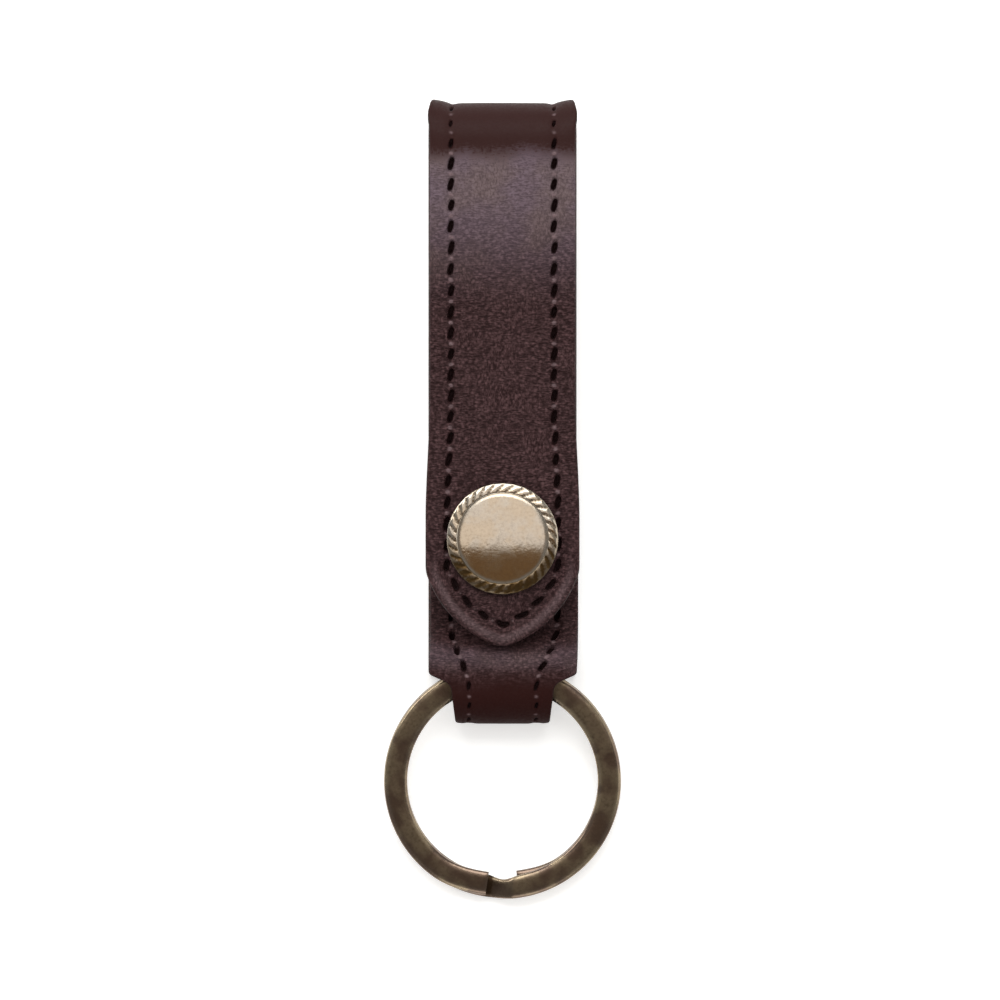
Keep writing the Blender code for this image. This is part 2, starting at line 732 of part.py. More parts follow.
def ring_route():
    """Two turns about the ring's own axis, the first below, with one jog up between them."""
    jog = JOG_LENGTH / RING_MEAN_RADIUS
    end = jog / 2 + COIL_END_GAP / RING_MEAN_RADIUS
    pitch = COIL_THICKNESS + COIL_GAP
    jog_steps = 6
    angles = []
    for turn in range(2):
        first = end if turn == 0 else 2 * pi + jog / 2
        last = 2 * pi - jog / 2 if turn == 0 else 4 * pi - end
        for index in range(RING_POINTS_A_TURN + 1):
            angles.append(first + (last - first) * index / RING_POINTS_A_TURN)
        if turn == 0:
            angles += [last + jog * index / jog_steps for index in range(1, jog_steps)]
    places = []
    for angle in angles:
        share = min(1.0, max(0.0, (angle - (2 * pi - jog / 2)) / jog))
        rise = share * share * (3 - 2 * share)
        places.append(
            (
                RING_MEAN_RADIUS * sin(angle),
                -RING_MEAN_RADIUS * cos(angle),
                pitch * (rise - 0.5),
            )
        )
    return places


def make_split_ring(parts, cutters, brass):
    section = add_cutter("ring_section", ring_section(), cutters)
    curve = bpy.data.curves.new("split_ring", "CURVE")
    curve.dimensions = "3D"
    curve.twist_mode = "Z_UP"
    curve.bevel_mode = "OBJECT"
    curve.bevel_object = section
    curve.use_fill_caps = True
    spline = curve.splines.new("POLY")
    places = ring_route()
    spline.points.add(len(places) - 1)
    for point, place in zip(spline.points, places):
        point.co = (*place, 1)
    route = bpy.data.objects.new("ring_route", curve)
    bpy.context.scene.collection.objects.link(route)
    obj = add_object("split_ring", as_mesh(route), parts, brass)
    smooth(obj, 50)
    obj.location = RING_CENTRE
    obj.rotation_euler = (RING_TILT, 0, 0)
    return obj


# Joint axes


def add_axis(name, place, pieces, parent, collection):
    """An empty on a joint's axis that carries the body's pieces."""
    bpy.context.view_layer.update()
    axis = bpy.data.objects.new(name, None)
    axis.empty_display_size = AXIS_MARK
    collection.objects.link(axis)
    axis.matrix_world = Matrix.Translation(place)
    if parent:
        axis.parent = parent
        axis.matrix_parent_inverse = Matrix.Translation(-parent.matrix_world.translation)
    bpy.context.view_layer.update()
    for piece in pieces:
        piece.parent = axis
        piece.matrix_parent_inverse = axis.matrix_world.inverted()
    bpy.context.view_layer.update()
    return axis


def make_axes(fold, flap, loop, ring, collection):
    parent = None
    names = ("fold_lower_axis", "fold_middle_axis", "fold_upper_axis", "flap_axis")
    for index, pieces in enumerate([*fold, flap]):
        (y, z), _ = fold_point(180 - 180 / FOLD_SEGMENTS * index)
        parent = add_axis(names[index], Vector((0, y, z)), pieces, parent, collection)
    swing = Vector((0, RING_HINGE_Y, RING_HINGE_Z))
    swing_axis = add_axis("ring_swing_axis", swing, loop, None, collection)
    add_axis("ring_spin_axis", RING_CENTRE, [ring], swing_axis, collection)


def main():
    clear_scene()
    parts = new_collection("key_holder")
    cutters = new_collection("cutters")
    face = new_material("smooth_leather", FACE_COLOUR, 0.5, 0.0)
    lining = new_material("lining_leather", LINING_COLOUR, 0.75, 0.0)
    thread = new_material("thread", THREAD_COLOUR, 0.8, 0.0)
    brass = new_material("antique_brass", BRASS_COLOUR, 0.35, 1.0)
    steel = new_material("spring_steel", STEEL_COLOUR, 0.3, 1.0)
    leathers = (face, lining)

    flap = make_flap(parts, cutters, leathers, thread)
    fold = make_fold(parts, leathers)
    make_back(parts, cutters, leathers, thread)
    make_return(parts, cutters, leathers, thread)
    loop = make_neck_and_loop(parts, cutters, leathers)[1]
    flap.append(make_cap(parts, brass))
    flap.append(make_cap_post(parts, brass))
    flap.append(make_socket(parts, brass))
    flap.append(make_socket_spring(parts, steel))
    make_stud(parts, brass)
    make_stud_post(parts, brass)
    ring = make_split_ring(parts, cutters, brass)
    make_axes(fold, flap, loop, ring, parts)


main()
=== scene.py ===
import json
from math import ceil, copysign, cos, degrees, exp, floor, hypot, pi, radians, sin, tan

import bpy
from mathutils import Matrix, Vector, noise


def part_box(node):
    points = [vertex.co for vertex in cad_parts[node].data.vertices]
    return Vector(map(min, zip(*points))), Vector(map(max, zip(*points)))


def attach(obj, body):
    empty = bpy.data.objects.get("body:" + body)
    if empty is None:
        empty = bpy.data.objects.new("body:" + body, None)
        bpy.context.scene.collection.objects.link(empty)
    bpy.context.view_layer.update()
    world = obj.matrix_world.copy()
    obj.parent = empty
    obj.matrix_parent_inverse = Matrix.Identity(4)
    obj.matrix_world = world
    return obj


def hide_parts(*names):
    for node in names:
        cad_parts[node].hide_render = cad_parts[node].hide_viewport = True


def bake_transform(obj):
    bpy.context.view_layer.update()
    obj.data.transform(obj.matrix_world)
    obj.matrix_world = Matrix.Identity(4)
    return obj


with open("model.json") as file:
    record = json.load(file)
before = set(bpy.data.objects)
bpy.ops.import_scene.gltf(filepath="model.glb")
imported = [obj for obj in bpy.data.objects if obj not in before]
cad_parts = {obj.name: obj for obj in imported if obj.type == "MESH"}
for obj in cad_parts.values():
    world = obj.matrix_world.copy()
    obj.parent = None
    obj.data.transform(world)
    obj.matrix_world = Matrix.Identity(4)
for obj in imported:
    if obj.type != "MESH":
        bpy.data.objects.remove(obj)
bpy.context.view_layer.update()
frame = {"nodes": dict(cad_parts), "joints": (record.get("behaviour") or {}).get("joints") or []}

bl_info = {
    "name": "Leather Key Holder",
    "version": (1, 0, 0),
    "blender": (4, 5, 0),
    "location": "3D View > Sidebar > Key Holder",
    "description": "Dresses a stitched leather key holder with a snap flap and a split ring",
    "category": "Object",
}

MM = 0.001

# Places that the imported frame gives
FLAP_LOW, FLAP_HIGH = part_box("flap_face")
LOOP_LOW, LOOP_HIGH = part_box("ring_loop_face")
CAP_LOW, CAP_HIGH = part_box("snap_cap")
RETURN_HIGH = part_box("return_end_face")[1]
RING_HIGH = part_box("split_ring")[1]
RIVET_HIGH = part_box("stud_post")[1]
RING_SPIN = next(joint for joint in frame["joints"] if joint["name"] == "ring_spin")
FOLD_RADIUS = FLAP_HIGH.z / 2
FOLD_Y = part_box("fold_middle_face")[1].y - FOLD_RADIUS
TIP_Y = FLAP_LOW.y
LOOP_RADIUS = LOOP_HIGH.z / 2
LOOP_Y = LOOP_LOW.y + LOOP_RADIUS
SNAP_Y = (CAP_LOW.y + CAP_HIGH.y) / 2

# How far along the strap's outer side its bends lie, from the flap's tip
FOLD_START = FOLD_Y - TIP_Y
FOLD_END = FOLD_START + pi * FOLD_RADIUS
LOOP_START = FOLD_END + FOLD_Y - LOOP_Y
LOOP_END = LOOP_START + pi * LOOP_RADIUS

# Where the fold is cut into pieces, in degrees from the flap's side
FOLD_CUTS = (30, 90, 150)

# Where along y the leather is painted darker on the neck as shade, paler towards the fold as
# a painted sheen, and paler again just below the flap's tip, a painted sheen too
NECK_SHADE_SPAN = (-21.5 * MM, -26 * MM)
PAINTED_SHEEN_SPAN = (25 * MM, 43.5 * MM)
SHEEN_BELOW_TIP_Y = -21.3 * MM


def length(name, millimetres, description):
    return bpy.props.FloatProperty(
        name=name,
        default=millimetres * MM,
        min=0.0,
        unit="LENGTH",
        precision=5,
        description=description,
    )


def degrees_of(name, default, description):
    return bpy.props.FloatProperty(
        name=name, default=radians(default), unit="ROTATION", description=description
    )


def number(name, default, low, description):
    return bpy.props.FloatProperty(name=name, default=default, min=low, description=description)


def linear(code):
    """An sRGB hex colour as linear red, green and blue."""
    channels = [int(code[i : i + 2], 16) / 255 for i in (1, 3, 5)]
    return [c / 12.92 if c <= 0.04045 else ((c + 0.055) / 1.055) ** 2.4 for c in channels]


def colour(name, code, description):
    return bpy.props.FloatVectorProperty(
        name=name,
        size=4,
        default=(*linear(code), 1.0),
        min=0.0,
        max=1.0,
        subtype="COLOR",
        description=description,
    )


class StrapSizes(bpy.types.PropertyGroup):
    """Sizes of the leather strap, in the plane of the leather."""

    strap_width: length("Strap Width", 20.0, "Width of the back and the return end")
    flap_width: length("Flap Width", 19.7, "Width of the flap below the fold")
    leather: length("Leather", 2.05, "Thickness of face and lining together")
    face: length("Face Layer", 1.0, "Thickness of the outer layer")
    glue: length("Glue Line", 0.02, "Space between the two layers")
    tip_radius: length("Tip Radius", 3.7, "Radius of the flap's pointed end")
    tip_turn: degrees_of("Tip Turn", 22.0, "Half the angle that the tip's arc turns")
    corner_radius: length("Head Corner Radius", 4.5, "Radius where the head's end begins")
    corner_turn: degrees_of("Head Corner Turn", 20.0, "Angle that the head's corner arc turns")
    head_width: length("Head Width", 20.75, "Width of the flap's head")
    widening_from_tip: length("Widening From Tip", 33.0, "Where the head begins to widen")
    widening_length: length("Widening Length", 16.0, "Length over which the head widens")
    neck_y: length("Neck Start", 15.47, "How far the neck starts below the middle")
    shoulder_drop: length("Shoulder Drop", 7.4, "From the neck's start to its shoulder")
    neck_width: length("Neck Width", 12.8, "Width of the loop's end, round the ring")
    neck_wider: length("Neck Wider", 0.95, "How much wider the loop is where it leaves the strap")
    shoulder_radius: length("Shoulder Radius", 0.7, "Rounding of the strap's shoulders")
    shoulder_fillet: length("Shoulder Fillet", 1.6, "Hollow between shoulder and neck")
    shoulder_slope: degrees_of("Shoulder Slope", 66.0, "Angle of the shoulder to the strap's side")
    hump_past_loop: length("Hump", 4.8, "Flat top of the loop before it falls to the strap")
    hump_slope: degrees_of("Hump Slope", 47.5, "How steeply the loop falls to the strap")
    hump_radius: length("Hump Radius", 3.4, "Bend at the top of the fall")
    hollow_radius: length("Hollow Radius", 3.0, "Bend at the foot of the fall")
    return_corner: length("Return Corner", 1.2, "Radius of the return end's corners")
    return_shift: length("Return Shift", 0.22, "How far the return end lies to the right")
    fold_flare: length("Fold Flare", 0.85, "How far the fold's corners stand up")
    fold_flare_width: length("Fold Flare Width", 3.2, "How wide the raised corners are")
    fold_lip: length("Fold Lip", 0.8, "Width of their outermost, steepest part")
    fold_squeeze: length("Fold Squeeze", 0.5, "How far the fold narrows at its middle")
    fold_bulge: length("Fold Bulge", 0.22, "How far the fold widens before its corners")
    fullness: length("Fullness", 0.08, "How uneven the leather's level is")
    broad_wave: length("Broad Waves", 5.5, "Size of its broad unevenness")
    small_wave: length("Small Waves", 1.7, "Size of its small unevenness")


class SewingSizes(bpy.types.PropertyGroup):
    """Sizes of the seam and of what the seam does to the leather."""

    inset: length("Seam Inset", 2.9, "From the leather's edge to the row of stitches")
    neck_inset: length("Neck Seam Inset", 2.35, "The same distance along the neck")
    corner: length("Seam Corner", 1.0, "Radius where the seam turns at the return end")
    drawn_from: length("Drawn In From", 16.5, "Where it begins to close in on the neck")
    drawn_to: length("Drawn In To", 25.5, "Where it has closed in, below the middle")
    pitch: length("Stitch Pitch", 2.85, "From one stitch to the next")
    slit_length: length("Slit Length", 1.8, "Length of the dent that a stitch pulls in")
    slit_width: length("Slit Width", 0.8, "Width of the dent that a stitch pulls in")
    slit_depth: length("Slit Depth", 0.62, "Depth of the dent that a stitch pulls in")
    nub_height: length("Nub Height", 0.16, "How far the leather stands up between stitches")
    nub_reach: length("Nub Reach", 0.42, "How far that reaches along the row")
    nub_spread: length("Nub Spread", 0.32, "How far that reaches across the row")
    slant: degrees_of("Stitch Slant", -13.0, "Angle of each stitch to the row")
    channel_depth: length("Channel Depth", 0.16, "How far the row sinks the leather")
    channel_width: length("Channel Width", 1.1, "Width of the sunk line along the row")
    seam_reach: length("Seam Reach", 2.6, "How far from the row it marks the leather")
    rim_width: length("Rim Width", 1.6, "Width of the rounded rim outside the row")
    rim_drop: length("Rim Drop", 0.2, "How far the rim falls towards the edge")
    head_puff: number("Head Puff", 1.6, 0.0, "How much deeper all this is at the head")
    head_from: length("Head Fade From", 7.0, "Where this begins to fade, from the tip")
    head_to: length("Head Fade To", 15.0, "Where it has faded")
    edge_radius: length("Edge Radius", 0.3, "Rounding of the leather's outer edge")
    under_radius: length("Under Radius", 0.12, "Rounding of its edge on the glued side")
    thread: length("Thread", 0.38, "Diameter of the sewing thread")
    rivet_room: length("Rivet Room", 0.2, "Space round the rivet's head")
    rivet_depth: length("Rivet Depth", 0.5, "How deep the rivet's head is let in")


class MetalSizes(bpy.types.PropertyGroup):
    """Sizes of the snap's cap and the split ring."""

    rope_band: length("Rope Band", 1.5, "Width of the cap's rope edge")
    rope_strands: bpy.props.IntProperty(
        name="Rope Strands", default=33, min=8, description="Slanted strands round the cap's edge"
    )
    rope_seat: length("Rope Seat", 0.6, "From the leather up to the rope edge's middle")
    rope_flatness: number("Rope Flatness", 0.6, 0.1, "Its height to its width")
    rope_slope: number("Rope Slope", 0.14, 0.0, "How steeply it falls outwards")
    rope_depth: length("Rope Depth", 0.1, "Depth of the cuts between strands")
    cap_dome: length("Cap Dome", 0.42, "How far the cap's field rises at its middle")
    cap_wall: length("Cap Wall", 0.45, "Thickness of the cap at its field's edge")
    wire_band: length("Wire Band", 3.14, "Width of the ring's flat wire")
    wire_thickness: length("Wire Thickness", 1.3, "Thickness of one coil")
    coil_gap: length("Coil Gap", 0.15, "Space between the two coils")
    wire_squareness: number("Wire Squareness", 3.4, 2.0, "From 2, an oval, upwards")
    coil_shift: length("Coil Shift", 0.42, "How far each coil's end springs inwards")
    jog_length: length("Jog Length", 3.4, "Length over which the wire steps up a coil")
    end_gap: length("End Gap", 0.45, "From a coil's end to the step")
    # The front coil's end casts a shadow on the step beside it, which is painted dark
    end_shadow_offset: length("Notch", 0.3, "From the front coil's end to the dirtiest place")
    end_shadow_width: length("Notch Width", 0.55, "How far that dirt spreads")


class Colours(bpy.types.PropertyGroup):
    """Colours of the leather, thread, metal, floor and room."""

    # The grain's hollows keep the leather's own dark tone; its paler tops are partly painted glints
    grain: colour("Grain", "#5b4243", "Leather between the grain's hollows")
    grain_hollow: colour("Grain Hollow", "#1f0d0d", "Leather in the grain's hollows")
    # A painted sheen: paler, purple-grey leather below the fold and just below the flap's tip
    painted_sheen: colour("Haze", "#71616a", "Leather where it is rubbed and paler")
    painted_sheen_brown: colour("Brown Haze", "#6f5f60", "The same where it is browner")
    # Painted darker over the fold, a painted shade where the leather curves away
    shaded_smooth_fold: colour("Stretched Leather", "#301a18", "Smooth leather over the fold")
    # Painted darker round the ring, a painted shade where the leather curves away
    neck: colour("Neck Leather", "#250b08", "Darkened leather round the ring")
    # Painted pale on the nubs between stitches and on the head's rim, a painted highlight
    nub: colour("Raised Leather", "#746062", "Leather rubbed pale between two stitches")
    # Painted dark in the stitches' slits, a painted shade
    slit: colour("Slit", "#170606", "Leather pulled in by a stitch")
    edge_paint: colour("Edge Paint", "#120909", "Painted cut edges")
    lining: colour("Lining", "#4a3129", "The inner leather")
    thread: colour("Thread", "#160607", "The sewing thread")
    brass: colour("Brass", "#cfc6b8", "Polished high spots of the brass")
    brass_warm: colour("Warm Brass", "#c3b5a1", "Brass that still has its warm patina")
    brass_patina: colour("Brass Patina", "#4a3922", "Dark tarnish in the brass's hollows")
    ring: colour("Ring", "#b09f84", "Worn edges of the split ring")
    ring_warm: colour("Ring Faces", "#78675a", "Redder patches of the split ring")
    ring_patina: colour("Ring Patina", "#33271c", "Tarnish of the split ring")
    steel: colour("Spring Steel", "#c9c6c0", "The wire in the socket")
    floor: colour("Floor", "#f7f7f6", "The table")
    ceiling: colour("Ceiling", "#ffce98", "The room straight above")
    walls: colour("Walls", "#ffffff", "The room round the table")


class KeyHolder(bpy.types.PropertyGroup):
    """All settings of the key holder."""

    strap: bpy.props.PointerProperty(type=StrapSizes)
    sewing: bpy.props.PointerProperty(type=SewingSizes)
    metal: bpy.props.PointerProperty(type=MetalSizes)
    colours: bpy.props.PointerProperty(type=Colours)


def settings():
    return bpy.context.scene.key_holder


# Routes in a plane


def trace(start, heading, legs):
    """The legs of a route with their start, heading and bend. A leg is (length,) or (radius,
    turn), with the turn in radians, positive to the left."""
    x, y = start
    route = []
    for leg in legs:
        if len(leg) == 1:
            route.append((leg[0], x, y, heading, 0.0))
            x += leg[0] * cos(heading)
            y += leg[0] * sin(heading)
            continue
        radius, turn = leg
        bend = (1 if turn > 0 else -1) / radius
        route.append((radius * abs(turn), x, y, heading, bend))
        x += (sin(heading + turn) - sin(heading)) / bend
        y -= (cos(heading + turn) - cos(heading)) / bend
        heading += turn
    return route


def total(route):
    return sum(leg[0] for leg in route)


def at(route, distance):
    """Place and heading so far along a route, carried on straight past its ends."""
    leg = route[-1]
    left = distance - total(route) + leg[0]
    passed = 0.0
    for one in route:
        if distance <= passed + one[0]:
            leg, left = one, distance - passed
            break
        passed += one[0]
    reach, x, y, heading, bend = leg
    rounding = 1e-6 * reach
    if bend and 0 <= left <= reach + rounding:
        turned = heading + left * bend
        x += (sin(turned) - sin(heading)) / bend
        y -= (cos(turned) - cos(heading)) / bend
        return x, y, turned
    return x + left * cos(heading), y + left * sin(heading), heading


def smoothstep(value, low=0.0, high=1.0):
    share = min(1.0, max(0.0, (value - low) / (high - low)))
    return share * share * (3 - 2 * share)


# The strap as one long sheet: a place in it is (x across, s along the outer side from the tip)


def strap_route():
    """The strap's outer side as a route through y and z, from the flap's tip on."""
    strap = settings().strap
    slope = strap.hump_slope
    radii = strap.hump_radius + strap.hollow_radius
    flat = strap.hump_past_loop - strap.hump_radius * tan(slope / 2)
    run = (LOOP_HIGH.z - RETURN_HIGH.z) / sin(slope) - radii * tan(slope / 2)
    foot = LOOP_Y + flat + radii * sin(slope) + run * cos(slope)
    legs = [
        (FOLD_START,),
        (FOLD_RADIUS, -pi),
        (LOOP_START - FOLD_END,),
        (LOOP_RADIUS, -pi),
        (flat,),
        (strap.hump_radius, -slope),
        (run,),
        (strap.hollow_radius, slope),
        (RETURN_HIGH.y - foot,),
    ]
    return trace((TIP_Y, FLAP_HIGH.z), 0.0, legs)


def front_distance(route, y):
    """How far along the strap its humped front passes a given y."""
    low, high = LOOP_END, total(route)
    for _ in range(40):
        middle = (low + high) / 2
        if at(route, middle)[0] < y:
            low = middle
        else:
            high = middle
    return low


STATION_STEP = 0.2 * MM

# How far short of the seam's turns the middle line ends, at the tip and at the return end
SHORT_OF_TURN = 1.2 * MM


def steps(start, end):
    """Even steps from start to end, start left out."""
    count = ceil(abs(end - start) / STATION_STEP)
    return [start + (end - start) * index / count for index in range(1, count + 1)]


def fold_cuts():
    """Where the fold is cut into pieces."""
    return [FOLD_START + FOLD_RADIUS * radians(angle) for angle in FOLD_CUTS]


def stations():
    """The strap's outline, seam and middle line side by side on its right-hand half, from the
    flap's tip to the return end: (edge, seam, middle, along), the first three each a place
    (x, s), the last how far along the seam they lie."""
    strap, inset = settings().strap, settings().sewing.inset
    route = strap_route()
    found = []

    # The flap's head, round its tip
    half = strap.head_width / 2
    corner, side = strap.corner_turn, pi / 2 - strap.tip_turn
    reach = half - strap.corner_radius * (1 - cos(corner)) - strap.tip_radius * cos(side)
    side_radius = reach / (cos(corner) - cos(side))
    legs = [
        (strap.tip_radius, strap.tip_turn),
        (side_radius, side - corner),
        (strap.corner_radius, corner),
    ]
    head = trace((0.0, 0.0), 0.0, legs)
    head_end = at(head, total(head))[1]
    start = inset + SHORT_OF_TURN
    for run in (0.0, *steps(0.0, total(head))):
        x, s, heading = at(head, run)
        seam = (x - inset * sin(heading), s + inset * cos(heading))
        found.append([(x, s), seam, (0.0, start + (head_end - start) * run / total(head))])

    # The flap's sides, narrowing once
    widening = half - strap.flap_width / 2
    low = strap.widening_from_tip - strap.widening_length
    for s in steps(head_end, FOLD_START):
        x = half - widening * smoothstep(s, low, strap.widening_from_tip)
        found.append([(x, s), (x - inset, s), (0.0, s)])

    # Round the fold, which is wider at 42 degrees and narrower at 90, and down the back
    half_fold, half_back = strap.flap_width / 2, strap.strap_width / 2
    cuts = fold_cuts()
    for first, last in zip((FOLD_START, *cuts), (*cuts, FOLD_END)):
        for s in steps(first, last):
            angle = degrees((s - FOLD_START) / FOLD_RADIUS)
            bulge = strap.fold_bulge * exp(-(((angle - 42) / 14) ** 2))
            squeeze = strap.fold_squeeze * exp(-(((angle - 90) / 22) ** 2))
            half = half_fold + (half_back - half_fold) * smoothstep(angle, 100, 170)
            seam_x = half - inset - squeeze / 2
            found.append([(half + bulge - squeeze, s), (seam_x, s), (0.0, s)])
    neck_start = FOLD_END + FOLD_Y + strap.neck_y
    for s in steps(FOLD_END, neck_start):
        found.append([(half_back, s), (half_back - inset, s), (0.0, s)])

    # The neck's back, the loop and the neck's front, the same in plan: x across, y down the strap
    neck = neck_plan()
    for trio in neck[1:]:
        found.append([(x, FOLD_END + FOLD_Y - y) for x, y in trio])
    edge_x, seam_x = neck[-1][0][0], neck[-1][1][0]
    for s in steps(LOOP_START, LOOP_END)[:-1]:
        narrowing = strap.neck_wider / 2 * sin((s - LOOP_START) / LOOP_RADIUS)
        found.append([(edge_x - narrowing, s), (seam_x, s), (0.0, s)])
    for trio in reversed(neck):
        found.append([(x, front_distance(route, y)) for x, y in trio])

    # The return end, whose seam turns across it
    start, end = front_distance(route, -strap.neck_y), total(route)

    def side_and_end(half, end, radius):
        side = trace((half, start), pi / 2, [(end - radius - start,)])
        across = [(radius, pi / 2), (half - radius,)]
        return side, trace((half, end - radius), pi / 2, across)

    edges = side_and_end(half_back, end, strap.return_corner)
    seams = side_and_end(half_back - inset, end - inset, settings().sewing.corner)
    middle_end = end - inset - SHORT_OF_TURN
    middles = (start, middle_end - 2 * MM, middle_end)
    for edge, seam, first, last in zip(edges, seams, middles, middles[1:]):
        for share in [run / total(edge) for run in steps(0.0, total(edge))]:
            places = at(edge, share * total(edge))[:2], at(seam, share * total(seam))[:2]
            found.append([*places, (0.0, first + (last - first) * share)])

    # How far along the seam each station lies
    passed, trail = 0.0, []
    before = found[0][1]
    for edge, seam, middle in found:
        passed += hypot(seam[0] - before[0], seam[1] - before[1])
        before = seam
        trail.append((edge, seam, middle, passed))
    return trail


def neck_plan():
    """The neck's right-hand edge, seam and middle line in plan, from its start to the loop."""
    strap, sewing = settings().strap, settings().sewing
    top = -strap.neck_y
    half, half_neck = strap.strap_width / 2, (strap.neck_width + strap.neck_wider) / 2
    slope, radius, fillet = strap.shoulder_slope, strap.shoulder_radius, strap.shoulder_fillet
    flank = half - half_neck - (radius + fillet) * (1 - cos(slope))
    legs = [(strap.shoulder_drop,), (radius, -slope), (flank / sin(slope),), (fillet, slope)]
    edge = trace((half, top), -pi / 2, legs)
    x_end, y_end, _ = at(edge, total(edge))
    seam_start, seam_end = half - sewing.inset, x_end - sewing.neck_inset
    plan = []
    for run in (0.0, *steps(0.0, total(edge))):
        y = top + (y_end - top) * run / total(edge)
        drawn_in = smoothstep(y, -sewing.drawn_from, -sewing.drawn_to)
        seam_x = seam_start - (seam_start - seam_end) * drawn_in
        plan.append([at(edge, run)[:2], (seam_x, y), (0.0, y)])
    for y in steps(y_end, LOOP_Y):
        plan.append([(x_end, y), (seam_end, y), (0.0, y)])
    return plan


def on_strap(route, x, s, depth):
    """A place in the sheet, so deep below its outer side, bent into the strap's shape."""
    y, z, heading = at(route, s)
    angle = (s - FOLD_START) / FOLD_RADIUS
    strap = settings().strap
    if 0 < angle < pi:
        edge = strap.flap_width / 2
        corner = max(0.0, (abs(x) - edge + strap.fold_flare_width) / strap.fold_flare_width)
        lip = smoothstep(abs(x), edge - strap.fold_lip, edge)
        depth -= strap.fold_flare * (corner**1.4 + 0.5 * lip) * sin(angle) ** 2
    elif s > LOOP_END:
        x += strap.return_shift * smoothstep(y, LOOP_Y, -strap.neck_y)
    return Vector((x, y + sin(heading) * depth, z - cos(heading) * depth))


# How far past the fold the leather is drawn tight
FOLD_PULL = 2.6 * MM


def tightness(s):
    """How far the leather is drawn tight, from 0 to 1: over the fold and round the ring."""
    fold = smoothstep(s, FOLD_START - FOLD_PULL, FOLD_START + MM)
    fold *= 1 - smoothstep(s, FOLD_END - MM, FOLD_END + FOLD_PULL)
    loop = smoothstep(s, LOOP_START - MM, LOOP_START + 2 * MM)
    loop *= 1 - smoothstep(s, LOOP_END - MM, LOOP_END + 4 * MM)
    return max(fold, loop)


def at_head(s):
    """1 at the flap's head, where the seam marks the leather deeper, and 0 further along."""
    sewing = settings().sewing
    return 1 - smoothstep(s, sewing.head_from, sewing.head_to)


def slip(turn):
    """How far one stitch lies out of its place, along and across the row, and how much longer
    or shorter it is. The three change out of step, so that no stitch looks like the next."""
    return 0.08 * MM * sin(37.0 * turn), 0.05 * MM * sin(53.0 * turn), 1 + 0.1 * sin(71.0 * turn)


def deepest(depth):
    """A dent's depth, held so that it stays inside the outer leather."""
    return min(depth, settings().strap.face - 0.1 * MM)


def relief(edge_distance, seam_offset, along, x, s):
    """How far the finished side of the leather stands below its flat level, and how the seam's
    painted light and shade mark it there: 0 on a nub, painted pale as a highlight, 0.5 on plain
    leather, 1 in a stitch's slit, painted dark as its shade."""
    strap, sewing = settings().strap, settings().sewing
    head = at_head(s)
    puff = 1 + sewing.head_puff * head
    broad = noise.noise(Vector((x, 0.8 * s, 20 * MM)) / strap.broad_wave)
    small = noise.noise(Vector((x, s, 30 * MM)) / strap.small_wave)
    sunk = strap.fullness * (0.5 + 0.35 * broad + 0.15 * small)
    rim = sewing.rim_width * (0.7 + 0.3 * puff)
    if edge_distance < rim:
        sunk += sewing.rim_drop * puff * (1 - edge_distance / rim) ** 2
    if abs(seam_offset) > sewing.seam_reach:
        return sunk, 0.5
    # The row sinks as a whole. At the head the sunk row is painted darker as shade, and the
    # leather outside it paler as a painted highlight on the raised rim
    reach = sewing.channel_width * (0.6 + 0.4 * puff)
    channel = exp(-((1.7 * seam_offset / reach) ** 2))
    rubbed = exp(-(((seam_offset + 0.6 * sewing.inset) / (0.3 * sewing.inset)) ** 2))
    sunk += sewing.channel_depth * puff * channel
    mark = 0.5 + head * (0.26 * channel - 0.26 * rubbed)
    # The nearest stitch pulls a slit in, and midway to the next one the leather stands up
    tight = tightness(s)
    turn = round(along / sewing.pitch)
    slip_along, slip_across, longer = slip(turn)
    u = along - sewing.pitch * turn + slip_along
    v = seam_offset + slip_across
    size = 0.5 - 0.2 * tight
    run = abs(u * cos(sewing.slant) + v * sin(sewing.slant)) / (longer * sewing.slit_length)
    across = abs(v * cos(sewing.slant) - u * sin(sewing.slant)) / sewing.slit_width
    slit = 1 - smoothstep((run / size) ** 2.6 + (across / size) ** 2.6, 0.5, 1.3)
    nub = 1 - smoothstep(abs(abs(u) - sewing.pitch / 2), 0.05 * MM, sewing.nub_reach)
    nub *= exp(-((v / sewing.nub_spread) ** 2))
    sunk += (sewing.slit_depth * slit - sewing.nub_height * nub) * (1 - 0.5 * tight)
    # A slit is painted dark as its shade, a nub pale as a painted highlight
    mark += (1 - mark) * slit - 0.5 * nub * (1 - 0.4 * tight)
    return deepest(max(0.0, sunk)), mark


# Meshes


def deselect():
    bpy.ops.object.select_all(action="DESELECT")


def edit_all(obj):
    """Enters edit mode with all of one object selected."""
    deselect()
    obj.select_set(True)
    bpy.context.view_layer.objects.active = obj
    bpy.ops.object.mode_set(mode="EDIT")
    bpy.ops.mesh.select_all(action="SELECT")


def finish(obj, material):
    """Gives the whole object one material."""
    obj.data.materials.clear()
    obj.data.materials.append(material_of(material))


def grid(name, columns, rows, attribute, place):
    """A grid of faces. For its corner (i, j), place gives where it lies and the value of the
    point attribute."""
    deselect()
    bpy.ops.mesh.primitive_grid_add(x_subdivisions=columns, y_subdivisions=rows, size=1)
    obj = bpy.context.object
    obj.name = obj.data.name = name
    values = obj.data.attributes.new(attribute, "FLOAT", "POINT").data
    for vertex in obj.data.vertices:
        i = round((vertex.co.x + 0.5) * columns)
        j = round((vertex.co.y + 0.5) * rows)
        vertex.co, values[vertex.index].value = place(i, j)
    return obj


def join(name, pieces):
    deselect()
    for piece in pieces:
        piece.select_set(True)
    bpy.context.view_layer.objects.active = pieces[0]
    bpy.ops.object.join()
    obj = bpy.context.object
    obj.name = obj.data.name = name
    return obj


